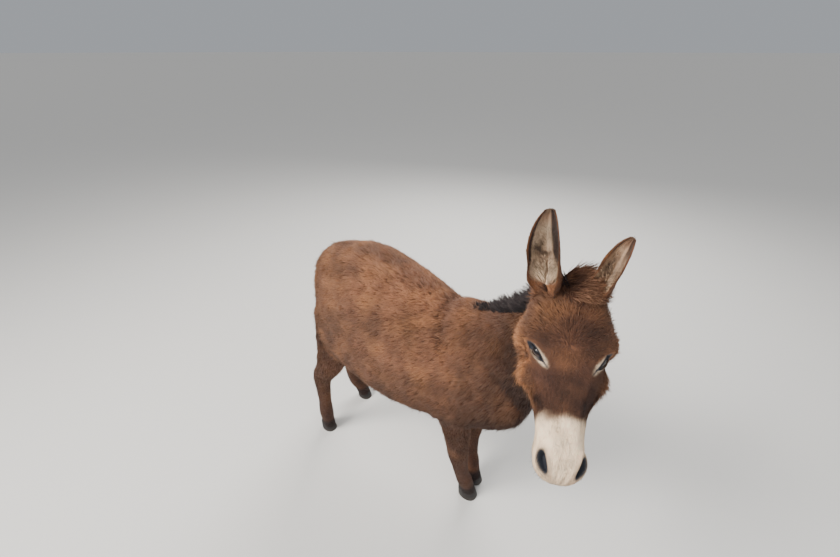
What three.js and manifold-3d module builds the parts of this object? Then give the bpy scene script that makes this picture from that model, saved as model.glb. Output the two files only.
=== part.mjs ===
// A standing donkey in its winter coat, life size: weight on four feet, head low and turned to its right,
// ears up. Millimetres, +X forwards, +Y to its left, +Z up. The surfaces are the outline out to the tips of
// the coat. The tables below are set out from a point on the ground between the four hooves.
import * as THREE from "three";
import { mergeVertices } from "three/addons/utils/BufferGeometryUtils.js";
import Module from "manifold-3d";

const wasm = await Module();
wasm.setup();

// ---------- driving dimensions ----------

const PARTING = 0.4; // width of the thin cuts that part the body into its named pieces
const SEAT_GAP = 0.3; // clearance round an eyeball, an ear, the mane or the tail on its neighbour
const FAR = 3000; // a length past every part of the animal

// Sections across the trunk: x, height of the back, of the widest level and of the belly, half the width, and
// how square the upper half is: 2 is an ellipse, and less comes nearer to a ridge.
const TRUNK = [
  { x: -392, back: 922, level: 785, belly: 690, half: 80, roof: 2.2 },
  { x: -345, back: 1006, level: 790, belly: 600, half: 132, roof: 2.2 },
  { x: -280, back: 1042, level: 785, belly: 560, half: 180, roof: 2.2 },
  { x: -190, back: 1055, level: 765, belly: 520, half: 216, roof: 2.2 },
  { x: -80, back: 1026, level: 720, belly: 476, half: 234, roof: 2.05 },
  { x: 60, back: 984, level: 680, belly: 460, half: 242, roof: 1.85 },
  { x: 190, back: 950, level: 665, belly: 474, half: 232, roof: 1.7 },
  { x: 290, back: 944, level: 665, belly: 484, half: 208, roof: 1.65 },
  { x: 380, back: 938, level: 675, belly: 488, half: 182, roof: 1.8 },
  { x: 460, back: 900, level: 685, belly: 500, half: 154, roof: 2.2 },
  { x: 530, back: 840, level: 692, belly: 548, half: 116, roof: 2.3 },
  { x: 575, back: 780, level: 695, belly: 615, half: 72, roof: 2.3 },
];

// Sections up the neck: centre, half width, reach to the crest and reach to the throat.
const NECK = [
  { at: [300, 0, 780], half: 150, up: 180, down: 262 },
  { at: [400, -5, 835], half: 120, up: 142, down: 252 },
  { at: [490, -23, 900], half: 96, up: 118, down: 202 },
  { at: [556, -43, 970], half: 82, up: 100, down: 152 },
  { at: [600, -57, 1035], half: 74, up: 86, down: 118 },
  { at: [626, -66, 1084], half: 62, up: 68, down: 88 },
];
const NECK_CUT = { at: [352, 0, 800], lean: 28 }; // the shoulder plane and its lean back, degrees

// The head's own frame: origin on the poll, x down the face, y to its left, z out of the forehead.
const POLL = new THREE.Vector3(638.5, -83, 1166);
const HEAD_TURN = -68.5; // degrees about +Z from straight ahead
const HEAD_PITCH = 44; // degrees below the horizontal
const HEAD_ROLL = -7; // degrees about its own length, its left side lowered

// Sections along the head: distance from the poll, widest level, half width, reach to face and to jaw.
const HEAD = [
  { x: -42, level: -72, half: 58, up: 44, down: 46 },
  { x: 5, level: -62, half: 90, up: 64, down: 84 },
  { x: 62, level: -58, half: 108, up: 68, down: 138 },
  { x: 125, level: -56, half: 114, up: 62, down: 158 },
  { x: 185, level: -58, half: 106, up: 58, down: 142 },
  { x: 245, level: -62, half: 86, up: 60, down: 112 },
  { x: 305, level: -62, half: 66, up: 57, down: 84 },
  { x: 365, level: -62, half: 60, up: 52, down: 66 },
  { x: 418, level: -64, half: 60, up: 46, down: 58 },
  { x: 474, level: -80, half: 47, up: 40, down: 42 },
];
// Soft swellings of the head on both sides: place along it, turn from the top of the section in degrees, how
// far it stands out, and its spread along the head and round it.
const SWELLS = [
  { x: 128, turn: 52, rise: 12, along: 24, round: 24 }, // brow over the eye
  { x: 170, turn: 56, rise: -17, along: 18, round: 13 }, // hollow that the eye sits in
  { x: 240, turn: 96, rise: 5, along: 40, round: 12 }, // ridge of the cheek bone
  { x: 190, turn: 118, rise: 14, along: 75, round: 26 }, // round of the cheek
  { x: 424, turn: 52, rise: 8, along: 26, round: 26 }, // rim of the nostril
  { x: 420, turn: 44, rise: -18, along: 15, round: 12 }, // nostril
  { x: 20, turn: 0, rise: 12, along: 40, round: 40 }, // crown between the ears
  { x: 110, turn: 80, rise: 6, along: 36, round: 24 }, // ruff of the temple
  { x: 128, turn: 84, rise: 6, along: 18, round: 16 }, // tuft beside the brow
  { x: 180, turn: 86, rise: -12, along: 17, round: 18 }, // dip beside the eye
  { x: 228, turn: 90, rise: 8, along: 24, round: 16 }, // tuft of the cheek
];
const MUZZLE_CUT = 312; // distance from the poll to the start of the muzzle
const MOUTH = { start: 400, level: -96, lean: 14 }; // corner of the mouth, its level and slope in degrees

const EYE = { x: 168, y: 74, z: -33, radius: 19 };

// Ears: root on the head, how far the ear leans out and back from straight up and how far its opening turns
// to the donkey's right about its own length, in degrees, how wide it is held open, and how far its tip bends
// to the left.
const EARS = {
  ear_right: { root: [2, -50, -44], out: 21.2, back: 34.6, turn: 25, open: 1.13, bend: 29 },
  ear_left: { root: [2, 72, -44], out: -6.6, back: 17.7, turn: 48.4, open: 0.76, bend: 11 },
};
// Sections up an ear: share of its length, half width, half angle of the cup in degrees, how hollow it is
// from 0 to 1, and how far its spine, the middle of the back, lies in front of the line from root to tip.
const EAR_LENGTH = 263;
const EAR_WALL = 7;
const EAR = [
  { share: 0, half: 27, sweep: 125, hollow: 0, spine: -8 },
  { share: 0.14, half: 31, sweep: 128, hollow: 0.25, spine: -10 },
  { share: 0.28, half: 39, sweep: 120, hollow: 0.8, spine: -11 },
  { share: 0.44, half: 37, sweep: 100, hollow: 1, spine: -11 },
  { share: 0.6, half: 38, sweep: 88, hollow: 1, spine: -9 },
  { share: 0.76, half: 33, sweep: 78, hollow: 1, spine: -6 },
  { share: 0.9, half: 24, sweep: 72, hollow: 1, spine: -3 },
  { share: 0.985, half: 13, sweep: 66, hollow: 1, spine: -1 },
];

// Leg sections from the body down: height, half length fore and aft, half width.
const FORE_GIRTH = [
  { z: 740, long: 96, wide: 54 },
  { z: 620, long: 88, wide: 56 },
  { z: 520, long: 74, wide: 56 },
  { z: 420, long: 60, wide: 51 },
  { z: 340, long: 52, wide: 45 },
  { z: 290, long: 49, wide: 43 },
  { z: 225, long: 40, wide: 37 },
  { z: 150, long: 36, wide: 33 },
  { z: 108, long: 38, wide: 35 },
  { z: 72, long: 34, wide: 33 },
  { z: 20, long: 38, wide: 34 },
];
const HIND_GIRTH = [
  { z: 780, long: 108, wide: 72 },
  { z: 700, long: 104, wide: 70 },
  { z: 640, long: 96, wide: 66 },
  { z: 560, long: 84, wide: 58 },
  { z: 480, long: 66, wide: 50 },
  { z: 430, long: 54, wide: 42 },
  { z: 375, long: 50, wide: 36 },
  { z: 305, long: 39, wide: 33 },
  { z: 200, long: 35, wide: 31 },
  { z: 118, long: 38, wide: 34 },
  { z: 76, long: 34, wide: 31 },
  { z: 20, long: 36, wide: 31 },
];
// Each leg's centre line, x and y at the heights above.
const LEGS = {
  fore_right: {
    girth: FORE_GIRTH,
    line: [[330, -110], [322, -116], [322, -108], [330, -97], [332, -87], [334, -82], [340, -74], [349, -62],
      [358, -53], [366, -45], [374, -37]],
  },
  fore_left: {
    girth: FORE_GIRTH,
    line: [[330, 110], [320, 116], [318, 110], [318, 97], [318, 85], [318, 78], [320, 66], [330, 54],
      [340, 48], [350, 43], [360, 39]],
  },
  hind_right: {
    girth: HIND_GIRTH,
    line: [[-240, -104], [-251, -112], [-264, -122], [-279, -130], [-305, -140], [-330, -148], [-357, -150],
      [-366, -147], [-377, -141], [-386, -136], [-388, -132], [-390, -128]],
  },
  hind_left: {
    girth: HIND_GIRTH,
    line: [[-240, 104], [-251, 112], [-268, 118], [-300, 116], [-350, 106], [-385, 100], [-415, 100],
      [-430, 101], [-438, 108], [-425, 121], [-406, 132], [-384, 142]],
  },
};
const LEG_TOPS = { fore: 520, hind: 530 }; // where the legs part from the trunk
const LEG_JOINTS = { fore: 292, hind: 372 }; // where the knee or the hock parts the upper and lower leg

// Hooves: half length and half width on the ground, then the wall's height and backward slope, and the
// coronet's height and slope down to the heel, in degrees.
const HOOF = {
  fore: { long: 42, wide: 35 },
  hind: { long: 39, wide: 32 },
};
const HOOF_HEIGHT = 90;
const HOOF_SLOPE = 12;
const CORONET = 52;
const CORONET_SLOPE = 20;

// The mane stands along the crest: centre of its foot, half thickness and height above it.
const MANE = [
  { at: [330, 0, 944], half: 11, tall: 22 },
  { at: [400, -6, 968], half: 16, tall: 40 },
  { at: [462, -26, 1004], half: 19, tall: 52 },
  { at: [515, -50, 1050], half: 20, tall: 56 },
  { at: [556, -68, 1100], half: 21, tall: 58 },
  { at: [590, -83, 1148], half: 21, tall: 54 },
  { at: [620, -72, 1172], half: 18, tall: 38 },
];

// The forelock is a thick tuft on the crown between the ears, in the head's frame: centre, half width, reach
// to the back and to the front.
const FORELOCK = [
  { at: [-12, 4, -16], half: 44, rear: 36, front: 34 },
  { at: [-22, 6, 14], half: 44, rear: 34, front: 32 },
  { at: [-38, 8, 40], half: 37, rear: 28, front: 24 },
  { at: [-52, 10, 58], half: 22, rear: 15, front: 15 },
];

const TAIL = [
  { at: [-350, 0, 925], half: 34 },
  { at: [-402, 0, 892], half: 28 },
  { at: [-426, 0, 820], half: 23 },
  { at: [-432, 0, 730], half: 21 },
  { at: [-428, 0, 630], half: 30 },
  { at: [-424, 0, 520], half: 34 },
  { at: [-424, 0, 420], half: 13 },
];
const TAIL_CUT = 645; // where the dock gives way to the switch

// ---------- small helpers ----------

const vec = (a) => new THREE.Vector3(...a);
const LEFT = new THREE.Vector3(0, 1, 0);
const { clamp, degToRad, lerp } = THREE.MathUtils;

/** A smooth curve through points, evenly timed from point to point. */
const curve = (points) => new THREE.CatmullRomCurve3(points, false, "catmullrom");

/** A closed solid from a stack of rings and a pole at each end. */
function shell(rings, first, last) {
  const around = rings[0].length;
  const pole = rings.length * around;
  const end = pole - around;
  const faces = [];
  for (let i = 0; i < around; i++) {
    const j = (i + 1) % around;
    faces.push(pole, j, i);
    for (let a = 0; a < end; a += around) {
      faces.push(a + i, a + j, a + around + j, a + i, a + around + j, a + around + i);
    }
    faces.push(pole + 1, end + i, end + j);
  }
  return new THREE.BufferGeometry()
    .setFromPoints([...rings.flat(), first, last])
    .setIndex(faces);
}

/** A geometry as a solid that can be joined and cut. */
function solid(geometry) {
  const bare = new THREE.BufferGeometry().setAttribute("position", geometry.getAttribute("position"));
  if (geometry.index) bare.setIndex(geometry.index);
  const merged = mergeVertices(bare, 1e-3);
  return new wasm.Manifold(new wasm.Mesh({
    numProp: 3,
    vertProperties: new Float32Array(merged.attributes.position.array),
    triVerts: new Uint32Array(merged.index.array),
  }));
}

/** A box from corner to corner, placed by a matrix. */
function block(low, high, placed = new THREE.Matrix4()) {
  const size = high.map((h, i) => h - low[i]);
  const middle = high.map((h, i) => (h + low[i]) / 2);
  return solid(new THREE.BoxGeometry(...size)
    .translate(...middle)
    .applyMatrix4(placed));
}

/** What of a solid lies between two heights. */
const band = (body, low, high) => body.intersect(block([-FAR, -FAR, low], [FAR, FAR, high]));

// ---------- lofting ----------

/** A superellipse's unit point at an angle: power 2 is an ellipse, and more is squarer. */
function sectionPoint(angle, power) {
  const c = Math.cos(angle);
  const s = Math.sin(angle);
  return [Math.sign(c) * Math.abs(c) ** (2 / power), Math.sign(s) * Math.abs(s) ** (2 / power)];
}

/** How far the head swells at a place along it and a turn from the top of its section. */
function swell(x, turn) {
  const off = Math.min(turn, 360 - turn);
  return SWELLS.reduce((sum, s) =>
    sum + s.rise * Math.exp(-(((x - s.x) / s.along) ** 2 + ((off - s.turn) / s.round) ** 2) / 2), 0);
}

/**
 * Lofts sections along a smooth path. Each station holds its centre, half width, reach up and reach down, and
 * the side axis that the width runs along. The ends round off over the shares firstCap and lastCap of the
 * length. grow widens every section, and bumps gives the swelling at a place and a turn.
 */
function loft(stations, { rings, around, power = 2.1, firstCap, lastCap, grow = 0, bumps }) {
  const path = curve(stations.map((s) => s.centre));
  const girth = curve(stations.map((s) => new THREE.Vector3(s.half, s.up, s.down)));
  const sides = curve(stations.map((s) => s.side));
  const roofs = curve(stations.map((s) => new THREE.Vector3(s.roof ?? power)));
  const made = [];
  for (let r = 0; r < rings; r++) {
    const share = (r + 0.5) / rings;
    const t = lerp(share, (1 - Math.cos(Math.PI * share)) / 2, 0.6);
    const along = path.getTangent(t);
    const side = sides.getPoint(t).projectOnPlane(along).normalize();
    const up = along.clone().cross(side);
    const near = Math.max(0, 1 - t / firstCap, 1 - (1 - t) / lastCap);
    const size = girth.getPoint(t).multiplyScalar(Math.sqrt(1 - near * near));
    const centre = path.getPoint(t);
    made.push(Array.from({ length: around }, (_, i) => {
      const angle = (2 * Math.PI * i) / around;
      const [x, y] = sectionPoint(angle, angle < Math.PI ? roofs.getPoint(t).x : power);
      const reach = side.clone().multiplyScalar(size.x * x)
        .addScaledVector(up, (y > 0 ? size.y : size.z) * y);
      const raised = bumps ? bumps(centre.x, (450 - (angle * 180) / Math.PI) % 360) : 0;
      return reach.setLength(reach.length() + grow + raised).add(centre);
    }));
  }
  const ends = [0, 1].map((t) => path.getPoint(t).addScaledVector(path.getTangent(t), t ? grow : -grow));
  return shell(made, ...ends);
}

// ---------- head, neck and trunk ----------

const headPlace = new THREE.Matrix4()
  .makeRotationZ(degToRad(HEAD_TURN))
  .multiply(new THREE.Matrix4().makeRotationY(degToRad(HEAD_PITCH)))
  .multiply(new THREE.Matrix4().makeRotationX(degToRad(HEAD_ROLL)))
  .setPosition(POLL);
const headLeft = LEFT.clone().transformDirection(headPlace);

function makeTrunk(grow = 0) {
  const stations = TRUNK.map((s) => ({
    ...s, centre: vec([s.x, 0, s.level]), up: s.back - s.level, down: s.level - s.belly, side: LEFT,
  }));
  return solid(loft(stations, { rings: 21, around: 22, power: 2.3, firstCap: 0.09, lastCap: 0.1, grow }));
}

/** The neck's side axis swings from the trunk's to the head's along its length. */
function makeNeck(grow = 0) {
  const stations = NECK.map((s, i) => ({
    ...s, centre: vec(s.at), side: LEFT.clone().lerp(headLeft, Math.max(0, (i - 1) / (NECK.length - 1))),
  }));
  return solid(loft(stations, { rings: 15, around: 20, power: 2.2, firstCap: 0.1, lastCap: 0.12, grow }));
}

function makeHead(grow = 0) {
  const stations = HEAD.map((s) => ({ ...s, centre: vec([s.x, 0, s.level]), side: LEFT }));
  const shape = loft(stations, {
    rings: 28, around: 24, power: 2.25, firstCap: 0.09, lastCap: 0.07, grow, bumps: swell,
  });
  return solid(shape.applyMatrix4(headPlace));
}

function makeEye(side, grow = 0) {
  return solid(new THREE.SphereGeometry(EYE.radius + grow, 12, 8)
    .translate(EYE.x, side * EYE.y, EYE.z)
    .applyMatrix4(headPlace));
}

// ---------- ears ----------

/** The middle of a ring of points. */
const centreOf = (ring) => ring.reduce((sum, p) => sum.add(p), new THREE.Vector3()).divideScalar(ring.length);

/**
 * One ear as a cup. A section is an arc of the back, closed by an inner line that sinks from straight across,
 * where the ear is solid at its root, to one wall's thickness from the back.
 */
function makeEar({ root, out, back, turn, open, bend }, grow = 0) {
  const outer = 9;
  const count = 13;
  const shapes = curve(EAR.map((s) => new THREE.Vector3(s.half * open, s.sweep, s.spine)));
  const heights = curve(EAR.map((s) => new THREE.Vector3(s.share, s.hollow)));
  const rings = [];
  for (let r = 0; r < count; r++) {
    const t = r / (count - 1);
    const { x: half, y: sweep, z: spine } = shapes.getPoint(t);
    const { x: share, y: hollow } = heights.getPoint(t);
    const reach = degToRad(sweep);
    const radius = half / Math.sin(Math.min(reach, Math.PI / 2));
    const sideways = bend * share ** 3;
    const point = (angle, length) => new THREE.Vector3(
      spine + radius - Math.cos(angle) * length, Math.sin(angle) * length + sideways, share * EAR_LENGTH);
    const ring = [];
    for (let i = 0; i <= outer; i++) ring.push(point(reach * (1 - (2 * i) / outer), radius + grow));
    const wall = Math.min(EAR_WALL, radius * 0.5) + grow;
    for (let i = 1; i < outer; i++) {
      const angle = -reach * (1 - (2 * i) / outer);
      const chord = point(reach, radius + grow).lerp(point(-reach, radius + grow), 1 - i / outer);
      const hollowed = point(angle, radius + grow - wall * Math.sin((Math.PI * i) / outer) ** 0.5);
      ring.push(chord.lerp(hollowed, clamp(hollow, 0, 1)));
    }
    rings.push(ring);
  }
  const tip = centreOf(rings.at(-1)).add(new THREE.Vector3(0, 0, EAR_LENGTH * 0.012));
  const placed = headPlace.clone()
    .multiply(new THREE.Matrix4().makeTranslation(...root))
    .multiply(new THREE.Matrix4().makeRotationY(degToRad(-back)))
    .multiply(new THREE.Matrix4().makeRotationX(degToRad(-out * Math.sign(root[1]))))
    .multiply(new THREE.Matrix4().makeRotationZ(degToRad(-turn)));
  return solid(shell(rings, centreOf(rings[0]), tip).applyMatrix4(placed));
}

// ---------- legs and hooves ----------

function makeLeg({ girth, line }, grow = 0) {
  const stations = girth.map((s, i) => ({
    centre: vec([...line[i], s.z]), half: s.wide, up: s.long, down: s.long, side: LEFT,
  }));
  return solid(loft(stations, { rings: 21, around: 12, firstCap: 0.05, lastCap: 0.001, grow }));
}

/** All that lies above the slope where the hair ends at a hoof's coronet. */
function aboveCoronet([x, y], lift) {
  const placed = new THREE.Matrix4()
    .makeTranslation(x, y, CORONET + lift)
    .multiply(new THREE.Matrix4().makeRotationY(degToRad(-CORONET_SLOPE)));
  return block([-FAR, -FAR, 0], [FAR, FAR, FAR], placed);
}

/** A hoof: a flat sole, a wall that slopes in as it rises, and a top cut along the coronet. */
function makeHoof({ long, wide }, foot) {
  const rings = [0, HOOF_HEIGHT].map((z) => {
    const shift = -z * Math.tan(degToRad(HOOF_SLOPE));
    return Array.from({ length: 20 }, (_, i) => {
      const [c, s] = sectionPoint((2 * Math.PI * i) / 20, 2.2);
      const slope = 1 - (0.28 * z) / HOOF_HEIGHT;
      return new THREE.Vector3(foot[0] + shift + c * long * slope, foot[1] + s * wide * slope, z);
    });
  });
  const ends = [0, HOOF_HEIGHT].map((z) => new THREE.Vector3(foot[0], foot[1], z));
  return solid(shell(rings, ...ends)).subtract(aboveCoronet(foot, 0));
}

// ---------- mane, forelock and tail ----------

function makeMane() {
  const stations = MANE.map((s) => ({
    centre: vec(s.at), half: s.half, up: s.tall, down: 40, side: LEFT,
  }));
  return solid(loft(stations, { rings: 12, around: 10, power: 2, firstCap: 0.12, lastCap: 0.12 }));
}

function makeForelock(grow = 0) {
  const stations = FORELOCK.map((s) => ({
    centre: vec(s.at), half: s.half, up: s.rear, down: s.front, side: LEFT,
  }));
  const shape = loft(stations, { rings: 8, around: 10, firstCap: 0.1, lastCap: 0.4, grow });
  return solid(shape.applyMatrix4(headPlace));
}

function makeTail(grow = 0) {
  const stations = TAIL.map((s) => ({
    centre: vec(s.at), half: s.half, up: s.half, down: s.half, side: LEFT,
  }));
  return solid(loft(stations, { rings: 16, around: 12, firstCap: 0.05, lastCap: 0.08, grow }));
}

// ---------- joining and parting ----------

const coat = { color: 0x5d3826, roughness: 0.9, metalness: 0 };
const darkHair = { color: 0x241914, roughness: 0.85, metalness: 0 };
const paleHair = { color: 0xcdb9a2, roughness: 0.9, metalness: 0 };
const eyeball = { color: 0x120c09, roughness: 0.1, metalness: 0 };
const horn = { color: 0x1f1b1a, roughness: 0.6, metalness: 0 };

const pieces = [];
const keep = (name, body, finish) => pieces.push({ name, body, finish });

const head = makeHead();
const grownHead = makeHead(SEAT_GAP);
const ears = Object.entries(EARS)
  .map(([name, ear]) => ({ name, body: makeEar(ear), grown: makeEar(ear, SEAT_GAP) }));

// Trunk with the roots of the legs, and the neck, parted by the plane of the shoulder.
let frame = makeTrunk().add(makeNeck());
for (const [name, leg] of Object.entries(LEGS)) {
  frame = frame.add(band(makeLeg(leg), LEG_TOPS[name.slice(0, 4)] + PARTING, FAR));
}
const shoulder = new THREE.Matrix4()
  .makeTranslation(...NECK_CUT.at)
  .multiply(new THREE.Matrix4().makeRotationY(degToRad(-NECK_CUT.lean)));
const behind = block([-FAR, -FAR, -FAR], [-PARTING / 2, FAR, FAR], shoulder);
const ahead = block([PARTING / 2, -FAR, -FAR], [FAR, FAR, FAR], shoulder);
const grownTail = makeTail(SEAT_GAP);
keep("trunk", frame.intersect(behind).subtract(grownTail), coat);
keep("neck", frame.intersect(ahead).subtract(grownHead), coat);

// Head, muzzle and lower lip, with the sockets of the eyes.
const sockets = [1, -1].reduce((body, side) => body.subtract(makeEye(side, SEAT_GAP)), head);
const skull = block([-FAR, -FAR, -FAR], [MUZZLE_CUT, FAR, FAR], headPlace);
const snout = block([MUZZLE_CUT + PARTING, -FAR, -FAR], [FAR, FAR, FAR], headPlace);
const mouthPlace = headPlace.clone()
  .multiply(new THREE.Matrix4().makeTranslation(MOUTH.start, 0, MOUTH.level))
  .multiply(new THREE.Matrix4().makeRotationY(degToRad(MOUTH.lean)));
const chin = block([0, -FAR, -FAR], [FAR, FAR, 0], mouthPlace);
const chinInside = block([PARTING, -FAR, -FAR], [FAR, FAR, -PARTING], mouthPlace);
keep("head", sockets.intersect(skull), coat);
keep("muzzle", head.intersect(snout).subtract(chin), paleHair);
keep("lower_lip", head.intersect(snout).intersect(chinInside), paleHair);
keep("eye_right", makeEye(-1), eyeball);
keep("eye_left", makeEye(1), eyeball);
for (const { name, body } of ears) keep(name, body.subtract(grownHead), coat);

// Forelock and mane: what shows of them over the head, the neck and the trunk, up to the ears.
let forelock = makeForelock().subtract(grownHead).subtract(makeNeck(SEAT_GAP));
let crest = makeMane().subtract(makeNeck(SEAT_GAP)).subtract(makeTrunk(SEAT_GAP)).subtract(grownHead);
crest = crest.subtract(makeForelock(SEAT_GAP));
for (const { body, grown } of ears) {
  crest = crest.subtract(grown);
  forelock = forelock.subtract(grown).subtract(body);
}
keep("mane", crest, darkHair);
keep("forelock", forelock, coat);

// Tail.
const tail = makeTail();
keep("tail_dock", band(tail, TAIL_CUT + PARTING, FAR), coat);
keep("tail_switch", band(tail, 0, TAIL_CUT), darkHair);

// Legs: the upper leg clears the trunk, and the lower one ends at the coronet of its hoof.
const trunkRoom = makeTrunk(SEAT_GAP).add(makeNeck(SEAT_GAP));
for (const [name, leg] of Object.entries(LEGS)) {
  const kind = name.slice(0, 4);
  const whole = makeLeg(leg);
  const foot = leg.line.at(-1);
  keep(name + "_upper", band(whole, LEG_JOINTS[kind] + PARTING, LEG_TOPS[kind]).subtract(trunkRoom), coat);
  keep(name + "_lower", band(whole, 0, LEG_JOINTS[kind]).intersect(aboveCoronet(foot, SEAT_GAP)), coat);
  keep(name + "_hoof", makeHoof(HOOF[kind], foot), horn);
}

// ---------- the scene graph ----------

const donkey = new THREE.Group();
for (const { name, body, finish } of pieces) {
  const { vertProperties, triVerts } = body.getMesh();
  const mesh = new THREE.Mesh(
    new THREE.BufferGeometry()
      .setAttribute("position", new THREE.BufferAttribute(vertProperties, 3))
      .setIndex(new THREE.BufferAttribute(triVerts, 1)),
    new THREE.MeshStandardMaterial(finish));
  mesh.name = name;
  donkey.add(mesh);
}

// The origin goes on the ground under the middle of the whole animal's box.
const middle = new THREE.Box3().setFromObject(donkey).getCenter(new THREE.Vector3());
for (const { geometry } of donkey.children) geometry.translate(-middle.x, -middle.y, 0);

export default donkey;
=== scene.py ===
"""A standing donkey in its winter coat: one skin, the coat over it, mane, forelock, tail, eyes and hooves.

Lengths in the tables are millimetres, and the tables' own origin lies on the ground between the four hooves,
with +X forwards, +Y to the animal's left and +Z up. Every shape is worked out there as whole numpy arrays and
carried into the model's frame as it becomes a mesh. The skin lies inside the solids by the depth of the coat,
and the tips of the coat reach the solids' outline.
"""

import logging
import math
from dataclasses import dataclass, field, fields
from enum import Enum
from functools import cached_property
from typing import Any, Callable, Sequence

import bpy
import numpy as np
import openvdb
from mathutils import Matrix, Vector


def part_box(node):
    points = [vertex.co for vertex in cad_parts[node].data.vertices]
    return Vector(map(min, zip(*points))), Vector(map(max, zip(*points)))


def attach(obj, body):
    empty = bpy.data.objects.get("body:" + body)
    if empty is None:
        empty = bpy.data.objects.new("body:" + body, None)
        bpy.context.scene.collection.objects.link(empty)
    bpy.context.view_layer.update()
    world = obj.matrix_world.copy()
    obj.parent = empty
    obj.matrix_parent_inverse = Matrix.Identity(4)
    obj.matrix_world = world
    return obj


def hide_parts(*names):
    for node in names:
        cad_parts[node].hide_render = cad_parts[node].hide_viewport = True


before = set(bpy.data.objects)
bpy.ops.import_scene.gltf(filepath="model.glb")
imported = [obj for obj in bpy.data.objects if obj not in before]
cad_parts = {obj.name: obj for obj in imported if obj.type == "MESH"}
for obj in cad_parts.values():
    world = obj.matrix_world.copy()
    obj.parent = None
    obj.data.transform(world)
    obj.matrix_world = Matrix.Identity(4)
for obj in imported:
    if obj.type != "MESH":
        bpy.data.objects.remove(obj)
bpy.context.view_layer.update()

LOG = logging.getLogger("donkey")
Array = np.ndarray
Colour = tuple[float, float, float, float]
Chance = np.random.Generator
Material = bpy.types.Material
Object = bpy.types.Object
SEED = 20417
MM = 0.001
SKIN_TIP = 0.42  # where the skin's own colour stands between a hair's root and its tip
MAP_PATCH = 0.003  # side of the patch that one tuft takes of its piece's map
LEAST_REACH = 4.0  # the smallest half width by which a place on a loft is told
END_SLACK = 12.0  # how far past its nearest frame a point may lie and still be beside a loft
CHUNKS = 24  # parts in which many points are handled, to save memory
LEFT = np.array([0.0, 1.0, 0.0])
DOWN = np.array([0.0, 0.0, -1.0])


# ---------- array helpers ----------


def unit(vectors: Array) -> Array:
    """Vectors divided by their own lengths."""
    return vectors / np.maximum(np.linalg.norm(vectors, axis=-1, keepdims=True), 1e-9)


def dot(a: Array, b: Array) -> Array:
    """Dot products along the last axis."""
    return (a * b).sum(-1)


def ease(x: Array, low: float, high: float) -> Array:
    """A smooth step: 0 below low, 1 above high, and 3s^2 - 2s^3 of the share between."""
    share = np.clip((x - low) / (high - low), 0.0, 1.0)
    return share * share * (3.0 - 2.0 * share)


def signed_power(x: Array, power: Array | float) -> Array:
    """The size of x to a power, with the sign of x."""
    return np.sign(x) * np.abs(x) ** power


def circle(count: int) -> Array:
    """Angles spaced evenly round a circle, from 0, in radians."""
    return np.arange(count) * 2 * math.pi / count


def from_top(angle: Array) -> Array:
    """A section's angle in radians, from its side, as a turn in degrees from its top, 0 to 360."""
    return (450 - np.degrees(angle)) % 360


def folded(turn: Array) -> Array:
    """A turn round a section as the angle from its top, alike on both sides."""
    return np.minimum(turn, 360 - turn)


def bell(x: Array, spread: float) -> Array:
    """A bell curve: e to the power of minus half of (x / spread) squared."""
    return np.exp(-0.5 * (x / spread) ** 2)


def blend(a: Any, b: Any, share: Array) -> Array:
    """a where share is 0, b where it is 1, and the straight mix between."""
    return a + (b - a) * share


def flattened(vectors: Array, normals: Array) -> Array:
    """What of some vectors lies in the planes square to some unit normals, at unit length."""
    return unit(vectors - normals * dot(vectors, normals)[..., None])


def catmull(points: Array, t: Array) -> Array:
    """A Catmull-Rom curve through points, evenly timed.

    Each span is the cubic whose slope at a point is half of (next point - previous point).

    Args:
        points: one row for each point; the ends are continued in a straight line.
        t: places along the curve, 0 to 1.

    Returns:
        One row of coordinates for each place.
    """
    rows = np.concatenate([[2 * points[0] - points[1]], points, [2 * points[-1] - points[-2]]])
    spans = len(points) - 1
    at = np.clip(t, 0.0, 1.0) * spans
    i = np.minimum(at.astype(int), spans - 1)
    w = (at - i)[..., None]
    p0, p1, p2, p3 = (rows[i + k] for k in range(4))
    m1, m2 = (p2 - p0) / 2, (p3 - p1) / 2
    return (2 * p1 - 2 * p2 + m1 + m2) * w**3 + (3 * p2 - 3 * p1 - 2 * m1 - m2) * w**2 + m1 * w + p1


def turned(axis: int, degrees: float) -> Array:
    """The matrix of a right-hand turn about the X, Y or Z axis, numbered 0, 1 and 2."""
    c, s = math.cos(math.radians(degrees)), math.sin(math.radians(degrees))
    a, b = [(1, 2), (2, 0), (0, 1)][axis]
    matrix = np.eye(3)
    matrix[a, a] = matrix[b, b] = c
    matrix[a, b], matrix[b, a] = -s, s
    return matrix


@dataclass(frozen=True)
class Ripple:
    """Smooth random noise over space: the sum of sine waves that run in random directions."""

    size: float
    seed: int
    waves: int = 14
    paces: tuple[float, float] = (0.6, 1.5)

    def __call__(self, points: Array) -> Array:
        """About -1 to 1 at each point: the sum of the waves' sines over the root of their number."""
        rng = np.random.default_rng(SEED + self.seed)
        pace = rng.uniform(*self.paces, (self.waves, 1)) * 2 * math.pi / self.size
        ways = unit(rng.normal(size=(self.waves, 3))) * pace
        starts = rng.uniform(0, 2 * math.pi, self.waves)
        return np.sin(points @ ways.T + starts).sum(-1) / math.sqrt(self.waves)


@dataclass(frozen=True)
class Patch:
    """A soft round patch of the head, placed along the face and by its turn from the top."""

    x: float
    turn: float
    along: float
    round: float

    def __call__(self, x: Array, turn: Array) -> Array:
        """1 in its middle, falling as one bell along the face times one round it."""
        return bell(x - self.x, self.along) * bell(turn - self.turn, self.round)


# ---------- surfaces ----------


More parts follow.
